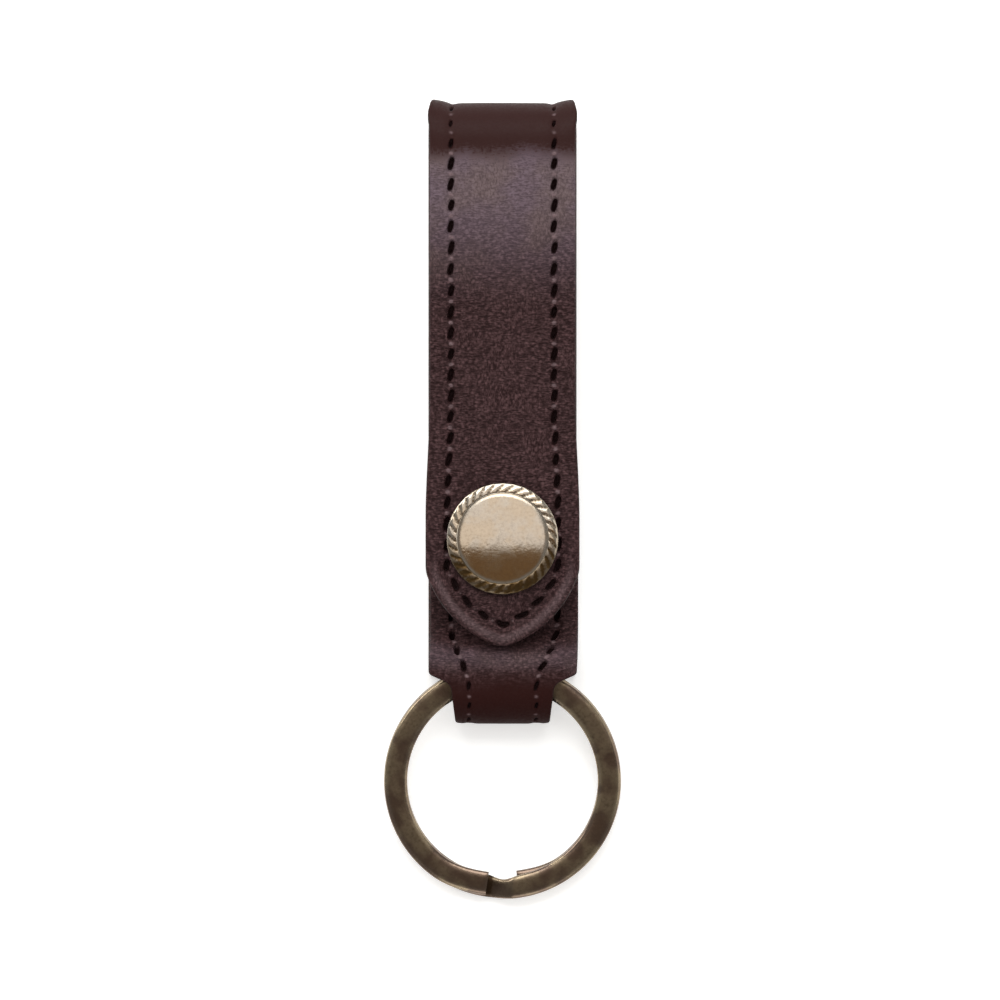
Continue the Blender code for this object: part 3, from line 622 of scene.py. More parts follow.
def close_up(obj, distance=1e-6):
    """Merges doubles, closes the open ends and turns every face outwards."""
    edit_all(obj)
    bpy.ops.mesh.remove_doubles(threshold=distance)
    bpy.ops.mesh.fill_holes(sides=0)
    bpy.ops.mesh.select_all(action="SELECT")
    bpy.ops.mesh.normals_make_consistent(inside=False)
    bpy.ops.object.mode_set(mode="OBJECT")
    bpy.ops.object.shade_smooth_by_angle(angle=radians(50))


def spun(name, profile, centre, steps):
    """A profile of (radius, height) points, turned about an upright axis and closed."""
    deselect()
    bpy.ops.mesh.primitive_plane_add(size=1)
    obj = bpy.context.object
    edit_all(obj)
    bpy.ops.mesh.delete(type="VERT")
    bpy.ops.object.mode_set(mode="OBJECT")
    points = [(centre[0] + r, centre[1], z) for r, z in profile]
    obj.data.from_pydata(points, [(i, i + 1) for i in range(len(points) - 1)], [])
    obj.data.update()
    obj.name = obj.data.name = name
    edit_all(obj)
    bpy.ops.mesh.spin(steps=steps, angle=2 * pi, center=(*centre, 0.0), axis=(0.0, 0.0, 1.0))
    bpy.ops.object.mode_set(mode="OBJECT")
    close_up(obj)
    return obj


# The columns across half a layer: on its finished side from the middle line to the seam and
# over the seam, then over the rim and round the edge. On its glued side back to the middle line.
# FINISHED of them are on the finished side, and the PAINTED ones begin the cut edge's faces
NEAR_SEAM = 0.85 * MM
MIDDLE_SHARES = [1.0, 0.88, 0.76, 0.64, 0.52, 0.4, 0.28, 0.16, 0.07]
SEAM_COLUMNS = [0.8, 0.66, 0.54, 0.44, 0.35, 0.26, 0.17, 0.08, 0.0]
SEAM_COLUMNS += [-offset for offset in reversed(SEAM_COLUMNS[:-1])]
RIM_SHARES = [0.12, 0.3, 0.5, 0.7, 0.88]
ROUND_ANGLES = [90, 68, 46, 24, 0]
UNDER_ANGLES = [0, 45, 90]
FINISHED = len(MIDDLE_SHARES + SEAM_COLUMNS + RIM_SHARES + ROUND_ANGLES)
PAINTED = range(FINISHED - 2, FINISHED + len(UNDER_ANGLES) - 1)


def across(out, into):
    """How far inside the seam each column lies, and how far it drops from its side, where the
    edge is so far out from the seam and the middle line so far in."""
    sewing = settings().sewing
    columns = [(NEAR_SEAM + (into - NEAR_SEAM) * share, 0.0) for share in MIDDLE_SHARES]
    columns += [(offset * MM, 0.0) for offset in SEAM_COLUMNS]
    rim = out - NEAR_SEAM - sewing.edge_radius
    columns += [(-(NEAR_SEAM + rim * share), 0.0) for share in RIM_SHARES]
    for radius, angles in (
        (sewing.edge_radius, ROUND_ANGLES),
        (sewing.under_radius, UNDER_ANGLES),
    ):
        for angle in map(radians, angles):
            columns.append((-(out - radius * (1 - cos(angle))), radius * (1 - sin(angle))))
    columns += [(-(out - sewing.under_radius) * share, 0.0) for share in (0.8, 0.4, 0.0)]
    columns += [(into * share, 0.0) for share in (0.3, 0.65, 1.0)]
    return columns


def leather_sheet(name, trail, route, outer, inner, finish_outside, material):
    """One layer of the strap between two stations, with its rounded rim, seam and dents on the
    finished side, closed all round, its cut edges painted."""
    rows = []
    for edge, seam, middle, _ in trail:
        out = hypot(edge[0] - seam[0], edge[1] - seam[1])
        rows.append((out, hypot(seam[0], middle[1] - seam[1])))
    columns = [across(*row) for row in rows]

    def half(sign):
        def place(i, j):
            edge, seam, middle, along = trail[i]
            out, into = rows[i]
            offset, drop = columns[i][j]
            target, share = (edge, -offset / out) if offset < 0 else (middle, offset / into)
            x, s = [a + (b - a) * share for a, b in zip(seam, target)]
            if j >= FINISHED:
                depth = inner - drop if finish_outside else outer + drop
                return on_strap(route, sign * x, s, depth), 0.5
            sunk, dent = relief(out + offset, offset, sign * along, sign * x, s)
            depth = outer + sunk + drop if finish_outside else inner - sunk - drop
            return on_strap(route, sign * x, s, depth), dent

        obj = grid(f"{name}_half", len(trail) - 1, len(columns[0]) - 1, "dent", place)
        finish(obj, material)
        obj.data.materials.append(material_of("painted_leather_edge"))
        for index, face in enumerate(obj.data.polygons):
            if index // (len(trail) - 1) in PAINTED:
                face.material_index = 1
        return obj

    obj = join(name, [half(1), half(-1)])
    close_up(obj)
    return obj


def stitch_template():
    """One stitch: a thread's short run with round ends, lying along x, its ends bowed down."""
    sewing = settings().sewing
    deselect()
    bpy.ops.mesh.primitive_uv_sphere_add(segments=8, ring_count=8, radius=1.0)
    obj = bpy.context.object
    for vertex in obj.data.vertices:
        y, z, x = vertex.co
        bow = -0.12 * MM * x * x
        girth = sewing.thread / 2 * (1 + 0.1 * cos(6 * x))
        vertex.co = (x * sewing.slit_length / 2 * 0.92, y * girth, z * girth * 0.9 + bow)
    obj.name = "stitch"
    return obj


def stitches(name, trail, route, surface, outside):
    """A stitch in each dent of the seam between two stations, on both sides of the strap."""
    sewing = settings().sewing
    template = stitch_template()
    first, last = trail[0][3] / sewing.pitch, trail[-1][3] / sewing.pitch
    copies = []
    for turn in range(ceil(first), floor(last) + 1):
        along = turn * sewing.pitch
        # Round the tip the two sides share their first stitch
        for sign in (1, -1) if turn else (1,):
            before, after = next(pair for pair in zip(trail, trail[1:]) if pair[1][3] >= along)
            share = (along - before[3]) / max(1e-9, after[3] - before[3])
            x, s = [a + (b - a) * share for a, b in zip(before[1], after[1])]
            run = Vector((after[1][0] - before[1][0], after[1][1] - before[1][1])).normalized()
            tight = tightness(s)
            sink = sewing.channel_depth * (1 + sewing.head_puff * at_head(s))
            sink = deepest(sink + sewing.slit_depth * (1 - 0.5 * tight)) + sewing.thread * 0.1
            slip_along, slip_across, longer = slip(sign * turn)
            copy = template.copy()
            copy.data = template.data.copy()
            bpy.context.collection.objects.link(copy)
            for vertex in copy.data.vertices:
                u, v, up = vertex.co * (1 - 0.4 * tight)
                u *= longer
                du = u * cos(sewing.slant) - v * sin(sewing.slant) - slip_along
                dv = u * sin(sewing.slant) + v * cos(sewing.slant) - slip_across
                # On the right the seam runs away from the tip, and inwards lies to its left
                du *= sign
                ahead = s + run.y * du + run.x * dv
                depth = surface + (sink - up if outside else up - sink)
                vertex.co = on_strap(route, sign * (x + run.x * du - run.y * dv), ahead, depth)
            if sign < 0:
                copy.data.flip_normals()
            copies.append(copy)
    bpy.data.objects.remove(template, do_unlink=True)
    obj = join(name, copies)
    close_up(obj)
    finish(obj, "waxed_thread")
    return obj


# Materials

# Options of nodes: an eased range, and a mix of two colours with its colour as the output
SMOOTH = {"interpolation_type": "SMOOTHSTEP"}
TINT = {"output": 2, "data_type": "RGBA"}


def fill(tree, node, inputs):
    """Fills a node's inputs, in their order or by number or name, with values and links."""
    for socket, value in inputs.items() if isinstance(inputs, dict) else enumerate(inputs):
        if isinstance(value, bpy.types.NodeSocket):
            tree.links.new(value, node.inputs[socket])
        else:
            node.inputs[socket].default_value = value


def add(tree, kind, inputs=(), output=0, **options):
    """Adds a node with its options set and its inputs filled, and gives one of its outputs."""
    node = tree.nodes.new("ShaderNode" + kind)
    for option, value in options.items():
        setattr(node, option, value)
    fill(tree, node, inputs)
    return node.outputs[output]


def full_grain_leather(tree, shades):
    """Full-grain cowhide, dyed dark brown and pressed: fine pebbles whose paler tops are partly
    painted glints, darker hollows between them, a purple-grey painted sheen below the fold,
    drawn smooth and plain over the fold and painted darker there as shade."""
    place = add(tree, "TexCoord", output="Object")
    y = add(tree, "SeparateXYZ", (place,), "Y")
    dent = add(tree, "Attribute", output="Fac", attribute_name="dent")
    # Pebbles of about 0.45 mm, bent out of their order by a coarser noise
    warp = add(tree, "TexNoise", {"Vector": place, "Scale": 1 / (1.3 * MM)}, "Color")
    shift = add(tree, "VectorMath", {0: warp, "Scale": 0.6 * MM}, operation="SCALE")
    pebbles = {"Vector": add(tree, "VectorMath", (place, shift)), "Scale": 1 / (0.45 * MM)}
    pebble = add(tree, "TexVoronoi", {**pebbles, "Smoothness": 0.4}, feature="SMOOTH_F1")
    raised = add(tree, "MapRange", (pebble, 0.8, 0.1), **SMOOTH)
    # Each pebble has its own shade, some paler, some darker
    cell = add(tree, "TexVoronoi", pebbles, "Color")
    own = add(tree, "SeparateXYZ", (cell,), "X")
    fine = add(tree, "TexNoise", {"Vector": place, "Scale": 1 / (0.3 * MM), "Detail": 3.0})
    patches = add(tree, "TexNoise", {"Vector": place, "Scale": 1 / (6 * MM), "Detail": 3.0})
    # Short creases, mostly across the strap and in patches along it
    creases = []
    for wide, long in ((0.75 * MM, 0.15 * MM), (0.17 * MM, 0.5 * MM)):
        drawn_out = add(tree, "Mapping", {"Vector": place, "Scale": (1 / wide, 1 / long, 1 / long)})
        crease = {"Vector": drawn_out, "Scale": 1.0, "Detail": 3.0, "Distortion": 0.9}
        creases.append(add(tree, "TexNoise", crease))
    lengthwise = add(tree, "MapRange", (patches, 0.45, 0.65, 0.0, 0.8), **SMOOTH)
    creased = add(tree, "Mix", {0: lengthwise, 2: creases[0], 3: creases[1]})
    # The grain's tones: the paler tops of pebbles and creases are partly painted glints
    grain = add(tree, "Math", (raised, own), operation="MULTIPLY")
    for layer, weight in (
        (raised, 0.35),
        (add(tree, "MapRange", (creased, 0.3, 0.7), **SMOOTH), 1.6),
        (add(tree, "MapRange", (fine, 0.28, 0.72), **SMOOTH), 0.45),
        (patches, 0.3),
    ):
        grain = add(tree, "Math", (layer, weight, grain), operation="MULTIPLY_ADD")
    grain = add(tree, "Math", (grain, 0.28), operation="MULTIPLY")
    # A painted sheen below the fold, plain towards the tip, smooth over the fold and painted darker
    # there as shade
    edge = add(tree, "Math", (patches, 3 * MM, -1.5 * MM), operation="MULTIPLY_ADD")
    ragged = add(tree, "Math", (y, edge))
    speckled = add(tree, "Math", (grain, 2.4 * MM, ragged), operation="MULTIPLY_ADD")
    # Over the fold the leather is smooth and painted darker, a painted shade where it curves away
    shaded_smooth_fold = add(tree, "MapRange", (speckled, FOLD_Y - 2.6 * MM, FOLD_Y + 0.4 * MM), **SMOOTH)
    # The neck is painted darker, a painted shade where the leather curves round the ring
    neck = add(tree, "MapRange", (ragged, *NECK_SHADE_SPAN), **SMOOTH)
    # The painted sheen, from the fold down the flap
    painted_sheen = add(tree, "MapRange", (ragged, *PAINTED_SHEEN_SPAN), **SMOOTH)
    # A painted sheen also lies just below the flap's tip
    below = add(tree, "Math", (ragged, -SHEEN_BELOW_TIP_Y))
    below = add(tree, "Math", (below,), operation="ABSOLUTE")
    below = add(tree, "MapRange", (below, 2.4 * MM, 0.2 * MM, 0.0, 0.32), **SMOOTH)
    painted_sheen = add(tree, "Math", (painted_sheen, below), operation="MAXIMUM")
    brown = add(tree, "MapRange", (patches, 0.35, 0.65), **SMOOTH)
    painted_sheen_tint = add(tree, "Mix", {0: brown, 6: shades.painted_sheen, 7: shades.painted_sheen_brown}, **TINT)
    spotted = add(tree, "MapRange", (grain, 0.1, 0.85, 0.45, 1.0), **SMOOTH)
    painted_sheen = add(tree, "Math", (painted_sheen, spotted), operation="MULTIPLY")
    # The nubs and the rim at the head are painted pale, a painted highlight where they catch the
    # light
    rubbed = add(tree, "MapRange", (dent, 0.46, 0.1), **SMOOTH)
    rubbed = add(tree, "Math", (rubbed, spotted), operation="MULTIPLY")
    # Over the hollows' own tone: the grain with painted glints, the painted sheen, the fold's and
    # the neck's painted shade, the nubs' painted highlight and the slits' painted shade
    shade = shades.grain_hollow
    for share, tint in (
        (add(tree, "MapRange", (grain, 0.16, 0.98), **SMOOTH), shades.grain),
        (painted_sheen, painted_sheen_tint),
        (shaded_smooth_fold, shades.shaded_smooth_fold),
        (neck, shades.neck),
        (rubbed, shades.nub),
        (add(tree, "MapRange", (dent, 0.58, 0.98), **SMOOTH), shades.slit),
    ):
        shade = add(tree, "Mix", {0: share, 6: shade, 7: tint}, **TINT)
    rough = add(tree, "MapRange", (fine, 0.3, 0.7, 0.45, 0.6), **SMOOTH)
    rough = add(tree, "Math", (neck, 0.2, rough), operation="MULTIPLY_ADD")
    flat = add(tree, "Math", (shaded_smooth_fold, neck), operation="MAXIMUM")
    relief_left = add(tree, "MapRange", (flat, 0.0, 1.0, 1.0, 0.15), **SMOOTH)
    height = add(tree, "Math", (grain, relief_left), operation="MULTIPLY")
    bump = add(tree, "Bump", {"Strength": 1.0, "Distance": 0.1 * MM, "Height": height})
    uniform = {"IOR": 1.5, "Specular IOR Level": 0.1}
    return {**uniform, "Base Color": shade, "Roughness": rough, "Normal": bump}


def painted_edge(tree, shades):
    """Cut leather edge, sanded and painted: near black, a little uneven, with a low gloss."""
    place = add(tree, "TexCoord", output="Object")
    ripple = add(tree, "TexNoise", {"Vector": place, "Scale": 1 / (0.8 * MM), "Detail": 3.0})
    rough = add(tree, "MapRange", (ripple, 0.3, 0.7, 0.5, 0.7), **SMOOTH)
    bump = add(tree, "Bump", {"Distance": 0.05 * MM, "Height": ripple})
    uniform = {"Base Color": shades.edge_paint, "IOR": 1.46, "Specular IOR Level": 0.15}
    return {**uniform, "Roughness": rough, "Normal": bump}


def lining_leather(tree, shades):
    """Split leather with a short buffed nap: matte, a little fibrous, paler where it is raised."""
    place = add(tree, "TexCoord", output="Object")
    nap = add(tree, "TexNoise", {"Vector": place, "Scale": 1 / (0.35 * MM), "Detail": 5.0})
    raised = add(tree, "MapRange", (nap, 0.35, 0.65), **SMOOTH)
    shade = add(tree, "Mix", {0: raised, 6: shades.grain_hollow, 7: shades.lining}, **TINT)
    rough = add(tree, "MapRange", (nap, 0.3, 0.7, 0.7, 0.88), **SMOOTH)
    bump = add(tree, "Bump", {"Distance": 0.06 * MM, "Height": nap})
    return {"IOR": 1.46, "Base Color": shade, "Roughness": rough, "Normal": bump}


def sewing_thread(tree, shades):
    """Waxed polyester thread, twisted from plies: dark, with a dull shine on each ply."""
    place = add(tree, "TexCoord", output="Object")
    turned = add(tree, "Mapping", {"Vector": place, "Rotation": (0.0, 0.0, radians(35))})
    # Plies of 0.25 mm
    plies = add(tree, "TexWave", {"Vector": turned, "Scale": 1 / (0.25 * MM) / 3}, "Fac")
    shade = add(tree, "Mix", {0: plies, 6: shades.edge_paint, 7: shades.thread}, **TINT)
    rough = add(tree, "MapRange", (plies, 0.0, 1.0, 0.8, 0.7), **SMOOTH)
    bump = add(tree, "Bump", {"Distance": 0.04 * MM, "Height": plies})
    uniform = {"IOR": 1.5, "Specular IOR Level": 0.06}
    return {**uniform, "Base Color": shade, "Roughness": rough, "Normal": bump}


def aged_metal(tree, bright, warm, patina, roughness, tarnish, patch, wave):
    """Brass plate under a chemical patina that was polished off again: bright where it is
    rubbed, warm in patches of about the size patch, darker by up to tarnish in them, dark in
    every hollow, and uneven by wave. A point attribute says how dark the metal is: patina in its
    hollows, a painted shadow beside the ring's coil end and a painted reflection on the lower
    half of the cap's rope."""
    place = add(tree, "TexCoord", output="Object")
    patina_and_shade = add(tree, "Attribute", output="Fac", attribute_name="patina_and_shade")
    clouds = add(tree, "TexNoise", {"Vector": place, "Scale": 1 / patch, "Detail": 6.0})
    specks = add(tree, "TexNoise", {"Vector": place, "Scale": 1 / (0.4 * MM), "Detail": 3.0})
    cloudy = add(tree, "MapRange", (clouds, 0.25, 0.75, 0.0, tarnish), **SMOOTH)
    speckled = add(tree, "MapRange", (specks, 0.4, 0.8, 0.0, 0.14), **SMOOTH)
    dark = add(tree, "Math", (cloudy, speckled))
    dark = add(tree, "Math", (dark, patina_and_shade), use_clamp=True)
    less_rubbed = add(tree, "MapRange", (clouds, 0.6, 0.4), **SMOOTH)
    shade = add(tree, "Mix", {0: less_rubbed, 6: bright, 7: warm}, **TINT)
    shade = add(tree, "Mix", {0: dark, 6: shade, 7: patina}, **TINT)
    rough = add(tree, "MapRange", (dark, 0.0, 1.0, roughness, roughness + 0.25), **SMOOTH)
    waves = add(tree, "Bump", {"Strength": 0.6, "Distance": wave, "Height": clouds})
    grit = {"Strength": 0.3, "Distance": 0.02 * MM, "Height": specks, "Normal": waves}
    bump = add(tree, "Bump", grit)
    return {"Metallic": 1.0, "Base Color": shade, "Roughness": rough, "Normal": bump}


def cap_brass(tree, shades):
    """The snap's pieces: pressed smooth and polished, so that they mirror the room."""
    tints = (shades.brass, shades.brass_warm, shades.brass_patina)
    return aged_metal(tree, *tints, 0.1, 0.24, 2.6 * MM, 0.03 * MM)


def ring_brass(tree, shades):
    """The split ring: mostly patina, with bright metal only where keys rub its edges."""
    tints = (shades.ring, shades.ring_warm, shades.ring_patina)
    return aged_metal(tree, *tints, 0.2, 0.42, 4.2 * MM, 0.2 * MM)


def spring_steel(tree, shades):
    """Drawn spring wire: bright, hard and a little streaked along its length."""
    place = add(tree, "TexCoord", output="Object")
    streaks = add(tree, "TexNoise", {"Vector": place, "Scale": 1 / (0.2 * MM)})
    shade = add(tree, "Mix", {0: streaks, 6: shades.ring_patina, 7: shades.steel}, **TINT)
    rough = add(tree, "MapRange", (streaks, 0.3, 0.7, 0.2, 0.35), **SMOOTH)
    return {"Metallic": 1.0, "Base Color": shade, "Roughness": rough}


def table_top(tree, shades):
    """A white acrylic table, lit from below as for product photographs: no pattern, and
    shadows that stay faint."""
    glow = {"Emission Color": shades.floor, "Emission Strength": 0.43}
    return {**glow, "Base Color": shades.floor, "Roughness": 0.9}


# Each adds its pattern's nodes to a tree and gives the values and links of the shader's sockets
MAKERS = {
    "full_grain_leather": full_grain_leather,
    "painted_leather_edge": painted_edge,
    "buffed_split_leather": lining_leather,
    "waxed_thread": sewing_thread,
    "antique_brass_cap": cap_brass,
    "antique_brass_ring": ring_brass,
    "drawn_spring_wire": spring_steel,
    "lit_acrylic": table_top,
}


def material_of(name):
    """The material of that name, made when it is first asked for."""
    material = bpy.data.materials.get(name)
    if not material:
        material = bpy.data.materials.new(name)
        material.use_nodes = True
        tree = material.node_tree
        fill(tree, tree.nodes["Principled BSDF"], MAKERS[name](tree, settings().colours))
    return material


# Operators

# Each piece of the strap from the flap's tip on: the nodes that its two layers replace, and the
# threads that its stitches replace
STRAP_PIECES = {
    "flap": (["flap"], ["flap_thread"]),
    "fold_upper": (["fold_upper"], []),
    "fold_middle": (["fold_middle"], []),
    "back": (["fold_lower", "back"], ["back_thread_left", "back_thread_right"]),
    "neck_and_return": (["neck_back", "ring_loop", "neck_front", "return_end"], ["return_thread"]),
}


class MakeStrap(bpy.types.Operator):
    """Sew the leather strap: flap, fold, back, neck and return end, in two layers"""

    bl_idname = "key_holder.make_strap"
    bl_label = "Strap"

    def execute(self, context):
        strap = settings().strap
        trail, route = stations(), strap_route()
        bounds = [0.0, *fold_cuts(), FOLD_END + FOLD_Y + strap.neck_y, trail[-1][2][1]]
        layers = (
            ("face", "leather", 0.0, strap.face, True, "full_grain_leather"),
            (
                "lining",
                "lining_leather",
                strap.face + strap.glue,
                strap.leather,
                False,
                "buffed_split_leather",
            ),
        )
        sides = ((0.0, True), (strap.leather, False))
        for (name, (nodes, threads)), low, high in zip(STRAP_PIECES.items(), bounds, bounds[1:]):
            part = self.slice(trail, low, high)
            for layer, label, *details in layers:
                piece = leather_sheet(f"{name}_{label}", part, route, *details)
                if (name, layer) == ("back", "face"):
                    self.let_in_rivet(piece)
                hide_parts(*[f"{node}_{layer}" for node in nodes])
                self.bend(piece, name)
            seams = [stitches(f"{name}_side_stitches", part, route, *side) for side in sides]
            seam = join(f"{name}_stitches", seams)
            if threads:
                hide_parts(*threads)
            self.bend(seam, name)
        return {"FINISHED"}

    @staticmethod
    def let_in_rivet(leather):
        """Sinks a round place in the back's outer side, where the stud's rivet lies flush."""
        sewing = settings().sewing
        deselect()
        bpy.ops.mesh.primitive_cylinder_add(
            vertices=64,
            radius=RIVET_HIGH.x + sewing.rivet_room,
            depth=4 * sewing.rivet_depth,
            location=(0.0, SNAP_Y, -sewing.rivet_depth),
        )
        cutter = bpy.context.object
        # The sunk place takes part of the slits' painted shade, darkening the hollow
        for value in cutter.data.attributes.new("dent", "FLOAT", "POINT").data:
            value.value = 0.75
        bpy.context.view_layer.objects.active = leather
        modifier = leather.modifiers.new("rivet", "BOOLEAN")
        modifier.operation, modifier.object = "DIFFERENCE", cutter
        bpy.ops.object.modifier_apply(modifier=modifier.name)
        bpy.data.objects.remove(cutter, do_unlink=True)

    @staticmethod
    def slice(trail, low, high):
        return [one for one in trail if low - 1e-7 <= one[2][1] <= high + 1e-7]

    @staticmethod
    def bend(piece, name):
        if name == "flap":
            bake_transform(piece)
        elif name == "fold_upper":
            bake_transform(piece)
        elif name == "fold_middle":
            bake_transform(piece)
        elif name == "back":
            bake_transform(piece)
        else:
            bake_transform(piece)


class MakeCap(bpy.types.Operator):
    """Press the snap's domed cap with its rope edge"""

    bl_idname = "key_holder.make_cap"
    bl_label = "Snap Cap"

    def execute(self, context):
        metal = settings().metal
        rope = metal.rope_band / 2
        rope_ring = CAP_HIGH.x - rope
        rope_z = CAP_LOW.z + metal.rope_seat
        field = rope_ring - rope * 0.86
        field_z = rope_z + rope * 0.5
        columns, rows = metal.rope_strands * 12, 28

        def rope_place(i, j):
            """A flat band that slopes as the dome's rim does, with short slanting cuts."""
            turned, tube = 2 * pi * i / columns, 2 * pi * j / rows
            across, up = [copysign(abs(share) ** 0.6, share) for share in (cos(tube), sin(tube))]
            strand = sin(metal.rope_strands * turned - pi * across)
            groove = (0.5 - 0.5 * strand) ** 4 * (1 - smoothstep(abs(across), 0.55, 0.9))
            out = rope_ring + rope * across
            height = rope_z + rope * (metal.rope_flatness * up - metal.rope_slope * across)
            height -= metal.rope_depth * groove * max(0.0, up)
            y = SNAP_Y + out * cos(turned)
            # The rope's lower half is painted darker, a painted reflection of the dark room above
            lower = smoothstep(SNAP_Y - y, -MM, 4 * MM)
            patina_and_shade = min(1.0, 0.05 + 0.8 * groove + 0.7 * lower)
            return (out * sin(turned), y, height), patina_and_shade

        edge = grid("cap_rope", columns, rows, "patina_and_shade", rope_place)
        close_up(edge, 1e-7)
        dome = (0.0, 0.1, 0.2, 0.3, 0.4, 0.5, 0.6, 0.7, 0.8, 0.9, 0.96)
        profile = [(field * share, field_z + metal.cap_dome * (1 - share**2)) for share in dome]
        inner, inner_z = rope_ring - 0.5 * MM, field_z - metal.cap_wall
        profile += [
            (field, field_z - 0.04 * MM),
            (field * 1.03, field_z - 0.14 * MM),
            (rope_ring, rope_z),
            (rope_ring, CAP_LOW.z),
            (inner, CAP_LOW.z),
            (inner, inner_z),
            (0.0, inner_z),
        ]
        body = spun("cap_body", profile, (0.0, SNAP_Y), 96)
        # Dirt gathers where the field meets the rope edge
        values = body.data.attributes.new("patina_and_shade", "FLOAT", "POINT").data
        for vertex, value in zip(body.data.vertices, values):
            from_middle = hypot(vertex.co.x, vertex.co.y - SNAP_Y)
            value.value = 0.6 * smoothstep(from_middle, field * 0.93, field)
        for piece in (body, edge):
            finish(piece, "antique_brass_cap")
            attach(piece, "flap")
        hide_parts("snap_cap")
        return {"FINISHED"}


class MakeRing(bpy.types.Operator):
    """Wind the split ring from flat wire, two coils with one step between them"""

    bl_idname = "key_holder.make_ring"
    bl_label = "Split Ring"

    def execute(self, context):
        metal = settings().metal
        centre, axis = Vector(RING_SPIN["pos_m"]), Vector(RING_SPIN["axis"])
        tilt = Matrix.Rotation(-axis.y / abs(axis.y or 1) * axis.angle(Vector((0, 0, 1))), 4, "X")
        half = metal.wire_band / 2
        radius = RING_HIGH.x - half
        jog = metal.jog_length / radius
        gap = jog / 2 + metal.end_gap / radius
        first, last = gap, 4 * pi - gap
        pitch = metal.wire_thickness + metal.coil_gap
        end_shadow_at = 2 * pi - gap + metal.end_shadow_offset / radius
        section = self.section()
        turns = 440

        def place(i, j):
            angle = first + (last - first) * i / turns
            rise = smoothstep(angle, 2 * pi - jog / 2, 2 * pi + jog / 2) - 0.5
            out, up = section[j]
            # The edges are rubbed bright and the flat faces keep their patina. Beside the front
            # coil's end the step is painted dark, a painted shadow that the end casts
            worn = 1 - smoothstep(abs(out) / half, 0.52, 0.84)
            painted_shadow = exp(-(((angle - end_shadow_at) * radius / metal.end_shadow_width) ** 2))
            # The step is squeezed narrower, and each end springs inwards a little
            pinch = exp(-(((angle - 2 * pi) / (jog * 0.5)) ** 2))
            out += 0.17 * pinch * (half - out)
            spring = 1 - smoothstep(min(angle - first, last - angle), 0.0, 0.5)
            out += radius - metal.coil_shift * spring
            if i in (0, turns):
                up *= 0.86
            spot = Vector((out * sin(angle), -out * cos(angle), up + pitch * rise))
            return centre + tilt @ spot, min(1.0, 0.4 * worn + 0.8 * painted_shadow)

        ring = grid("ring_wire", turns, len(section) - 1, "patina_and_shade", place)
        close_up(ring)
        finish(ring, "antique_brass_ring")
        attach(ring, "ring")
        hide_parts("split_ring")
        return {"FINISHED"}

    @staticmethod
    def section():
        """The wire's section as (outwards, up) points, anticlockwise, the first one also last:
        between an oval and a rectangle."""
        metal = settings().metal
        power = 2 / metal.wire_squareness
        points = []
        for step in range(36):
            angle = 2 * pi * step / 36
            out, up = [copysign(abs(share) ** power, share) for share in (cos(angle), sin(angle))]
            points.append((metal.wire_band / 2 * out, metal.wire_thickness / 2 * up))
        return [*points, points[0]]


class FinishMetalParts(bpy.types.Operator):
    """Give the snap's inner pieces their brass and steel"""

    bl_idname = "key_holder.finish_metal_parts"
    bl_label = "Inner Snap Pieces"

    def execute(self, context):
        for node in ("cap_post", "snap_socket", "stud", "stud_post"):
            finish(frame["nodes"][node], "antique_brass_cap")
        finish(frame["nodes"]["socket_spring"], "drawn_spring_wire")
        return {"FINISHED"}


# From the table's middle to each light, in metres
LIGHT_DISTANCE = 1.3


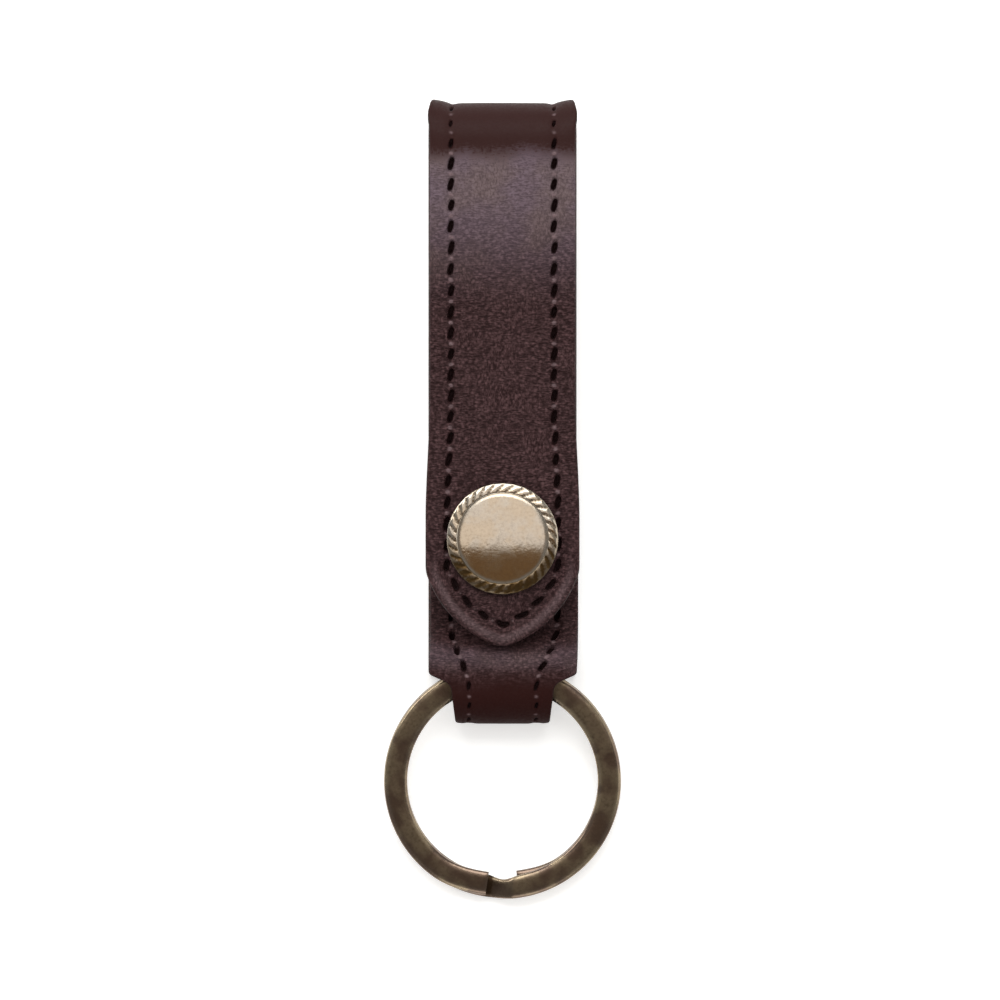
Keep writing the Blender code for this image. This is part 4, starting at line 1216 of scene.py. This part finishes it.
class SetStage(bpy.types.Operator):
    """Set the table, the soft lights and the camera above"""

    bl_idname = "key_holder.set_stage"
    bl_label = "Stage"

    def execute(self, context):
        deselect()
        bpy.ops.mesh.primitive_plane_add(size=6.0, location=(0.0, 0.0, -0.02 * MM))
        table = bpy.context.object
        table.name = "floor"
        finish(table, "lit_acrylic")
        self.panel("key_light", 40, 0, 1.0, 1.0, 11.0)
        self.panel("overhead_light", 12, 0, 0.95, 0.72, 2.15)
        self.panel("left_fill", 62, 52, 0.65, 0.42, 5.0)
        self.panel("right_fill", 60, -90, 0.9, 0.9, 2.6)
        self.panel("low_fill", 60, 180, 0.9, 0.7, 3.4)
        self.surroundings()
        height = 3.0
        bpy.ops.object.camera_add(location=(-0.34 * MM, 0.17 * MM, height))
        camera = bpy.context.object
        camera.name = "camera"
        # The photograph takes in 134.95 mm at the ring's height, 4 mm above the table
        camera.data.lens = camera.data.sensor_width * (height - 4.0 * MM) / (134.95 * MM)
        bpy.context.scene.camera = camera
        # Plain colours, as in a product photograph on white
        bpy.context.scene.view_settings.view_transform = "Standard"
        return {"FINISHED"}

    @staticmethod
    def panel(name, lean, turn, width, height, power):
        """A light that faces the table's middle from LIGHT_DISTANCE, leaning so many degrees
        from straight above towards the strap's top, and turned so many degrees about it. Its
        width and height are in metres, its power in watts."""
        facing = Matrix.Rotation(radians(turn), 4, "Z") @ Matrix.Rotation(radians(-lean), 4, "X")
        place = facing @ Vector((0.0, 0.0, LIGHT_DISTANCE))
        bpy.ops.object.light_add(type="AREA", location=place, rotation=facing.to_euler())
        light = bpy.context.object
        light.name = name
        light.data.shape = "RECTANGLE"
        light.data.size = width
        light.data.size_y = height
        light.data.energy = power
        light.visible_camera = False

    @staticmethod
    def surroundings():
        """A pale room, dark and warm straight above, where the camera hangs. The cap's lower
        part mirrors that, its upper part the overhead light."""
        shades = settings().colours
        world = bpy.data.worlds.new("studio")
        world.use_nodes = True
        tree = world.node_tree
        way = add(tree, "TexCoord", output="Generated")
        up = add(tree, "SeparateXYZ", (way,), "Z")
        strength = add(tree, "MapRange", (up, 0.85, 0.97, 0.42, 0.2), **SMOOTH)
        above = add(tree, "MapRange", (up, 0.9, 0.97), **SMOOTH)
        shade = add(tree, "Mix", {0: above, 6: shades.walls, 7: shades.ceiling}, **TINT)
        fill(tree, tree.nodes["Background"], {"Color": shade, "Strength": strength})
        bpy.context.scene.world = world


class KeyHolderPanel(bpy.types.Panel):
    """The operators in the order they run"""

    bl_idname = "VIEW3D_PT_key_holder"
    bl_label = "Key Holder"
    bl_space_type = "VIEW_3D"
    bl_region_type = "UI"
    bl_category = "Key Holder"

    def draw(self, context):
        for operator in OPERATORS:
            self.layout.operator(operator.bl_idname)


OPERATORS = (MakeStrap, MakeCap, MakeRing, FinishMetalParts, SetStage)
CLASSES = (StrapSizes, SewingSizes, MetalSizes, Colours, KeyHolder, *OPERATORS, KeyHolderPanel)


def register():
    for cls in CLASSES:
        bpy.utils.register_class(cls)
    bpy.types.Scene.key_holder = bpy.props.PointerProperty(type=KeyHolder)


def unregister():
    del bpy.types.Scene.key_holder
    for cls in reversed(CLASSES):
        bpy.utils.unregister_class(cls)


def main():
    register()
    bpy.ops.key_holder.make_strap()
    bpy.ops.key_holder.make_cap()
    bpy.ops.key_holder.make_ring()
    bpy.ops.key_holder.finish_metal_parts()
    bpy.ops.key_holder.set_stage()


if __name__ == "__main__":
    main()
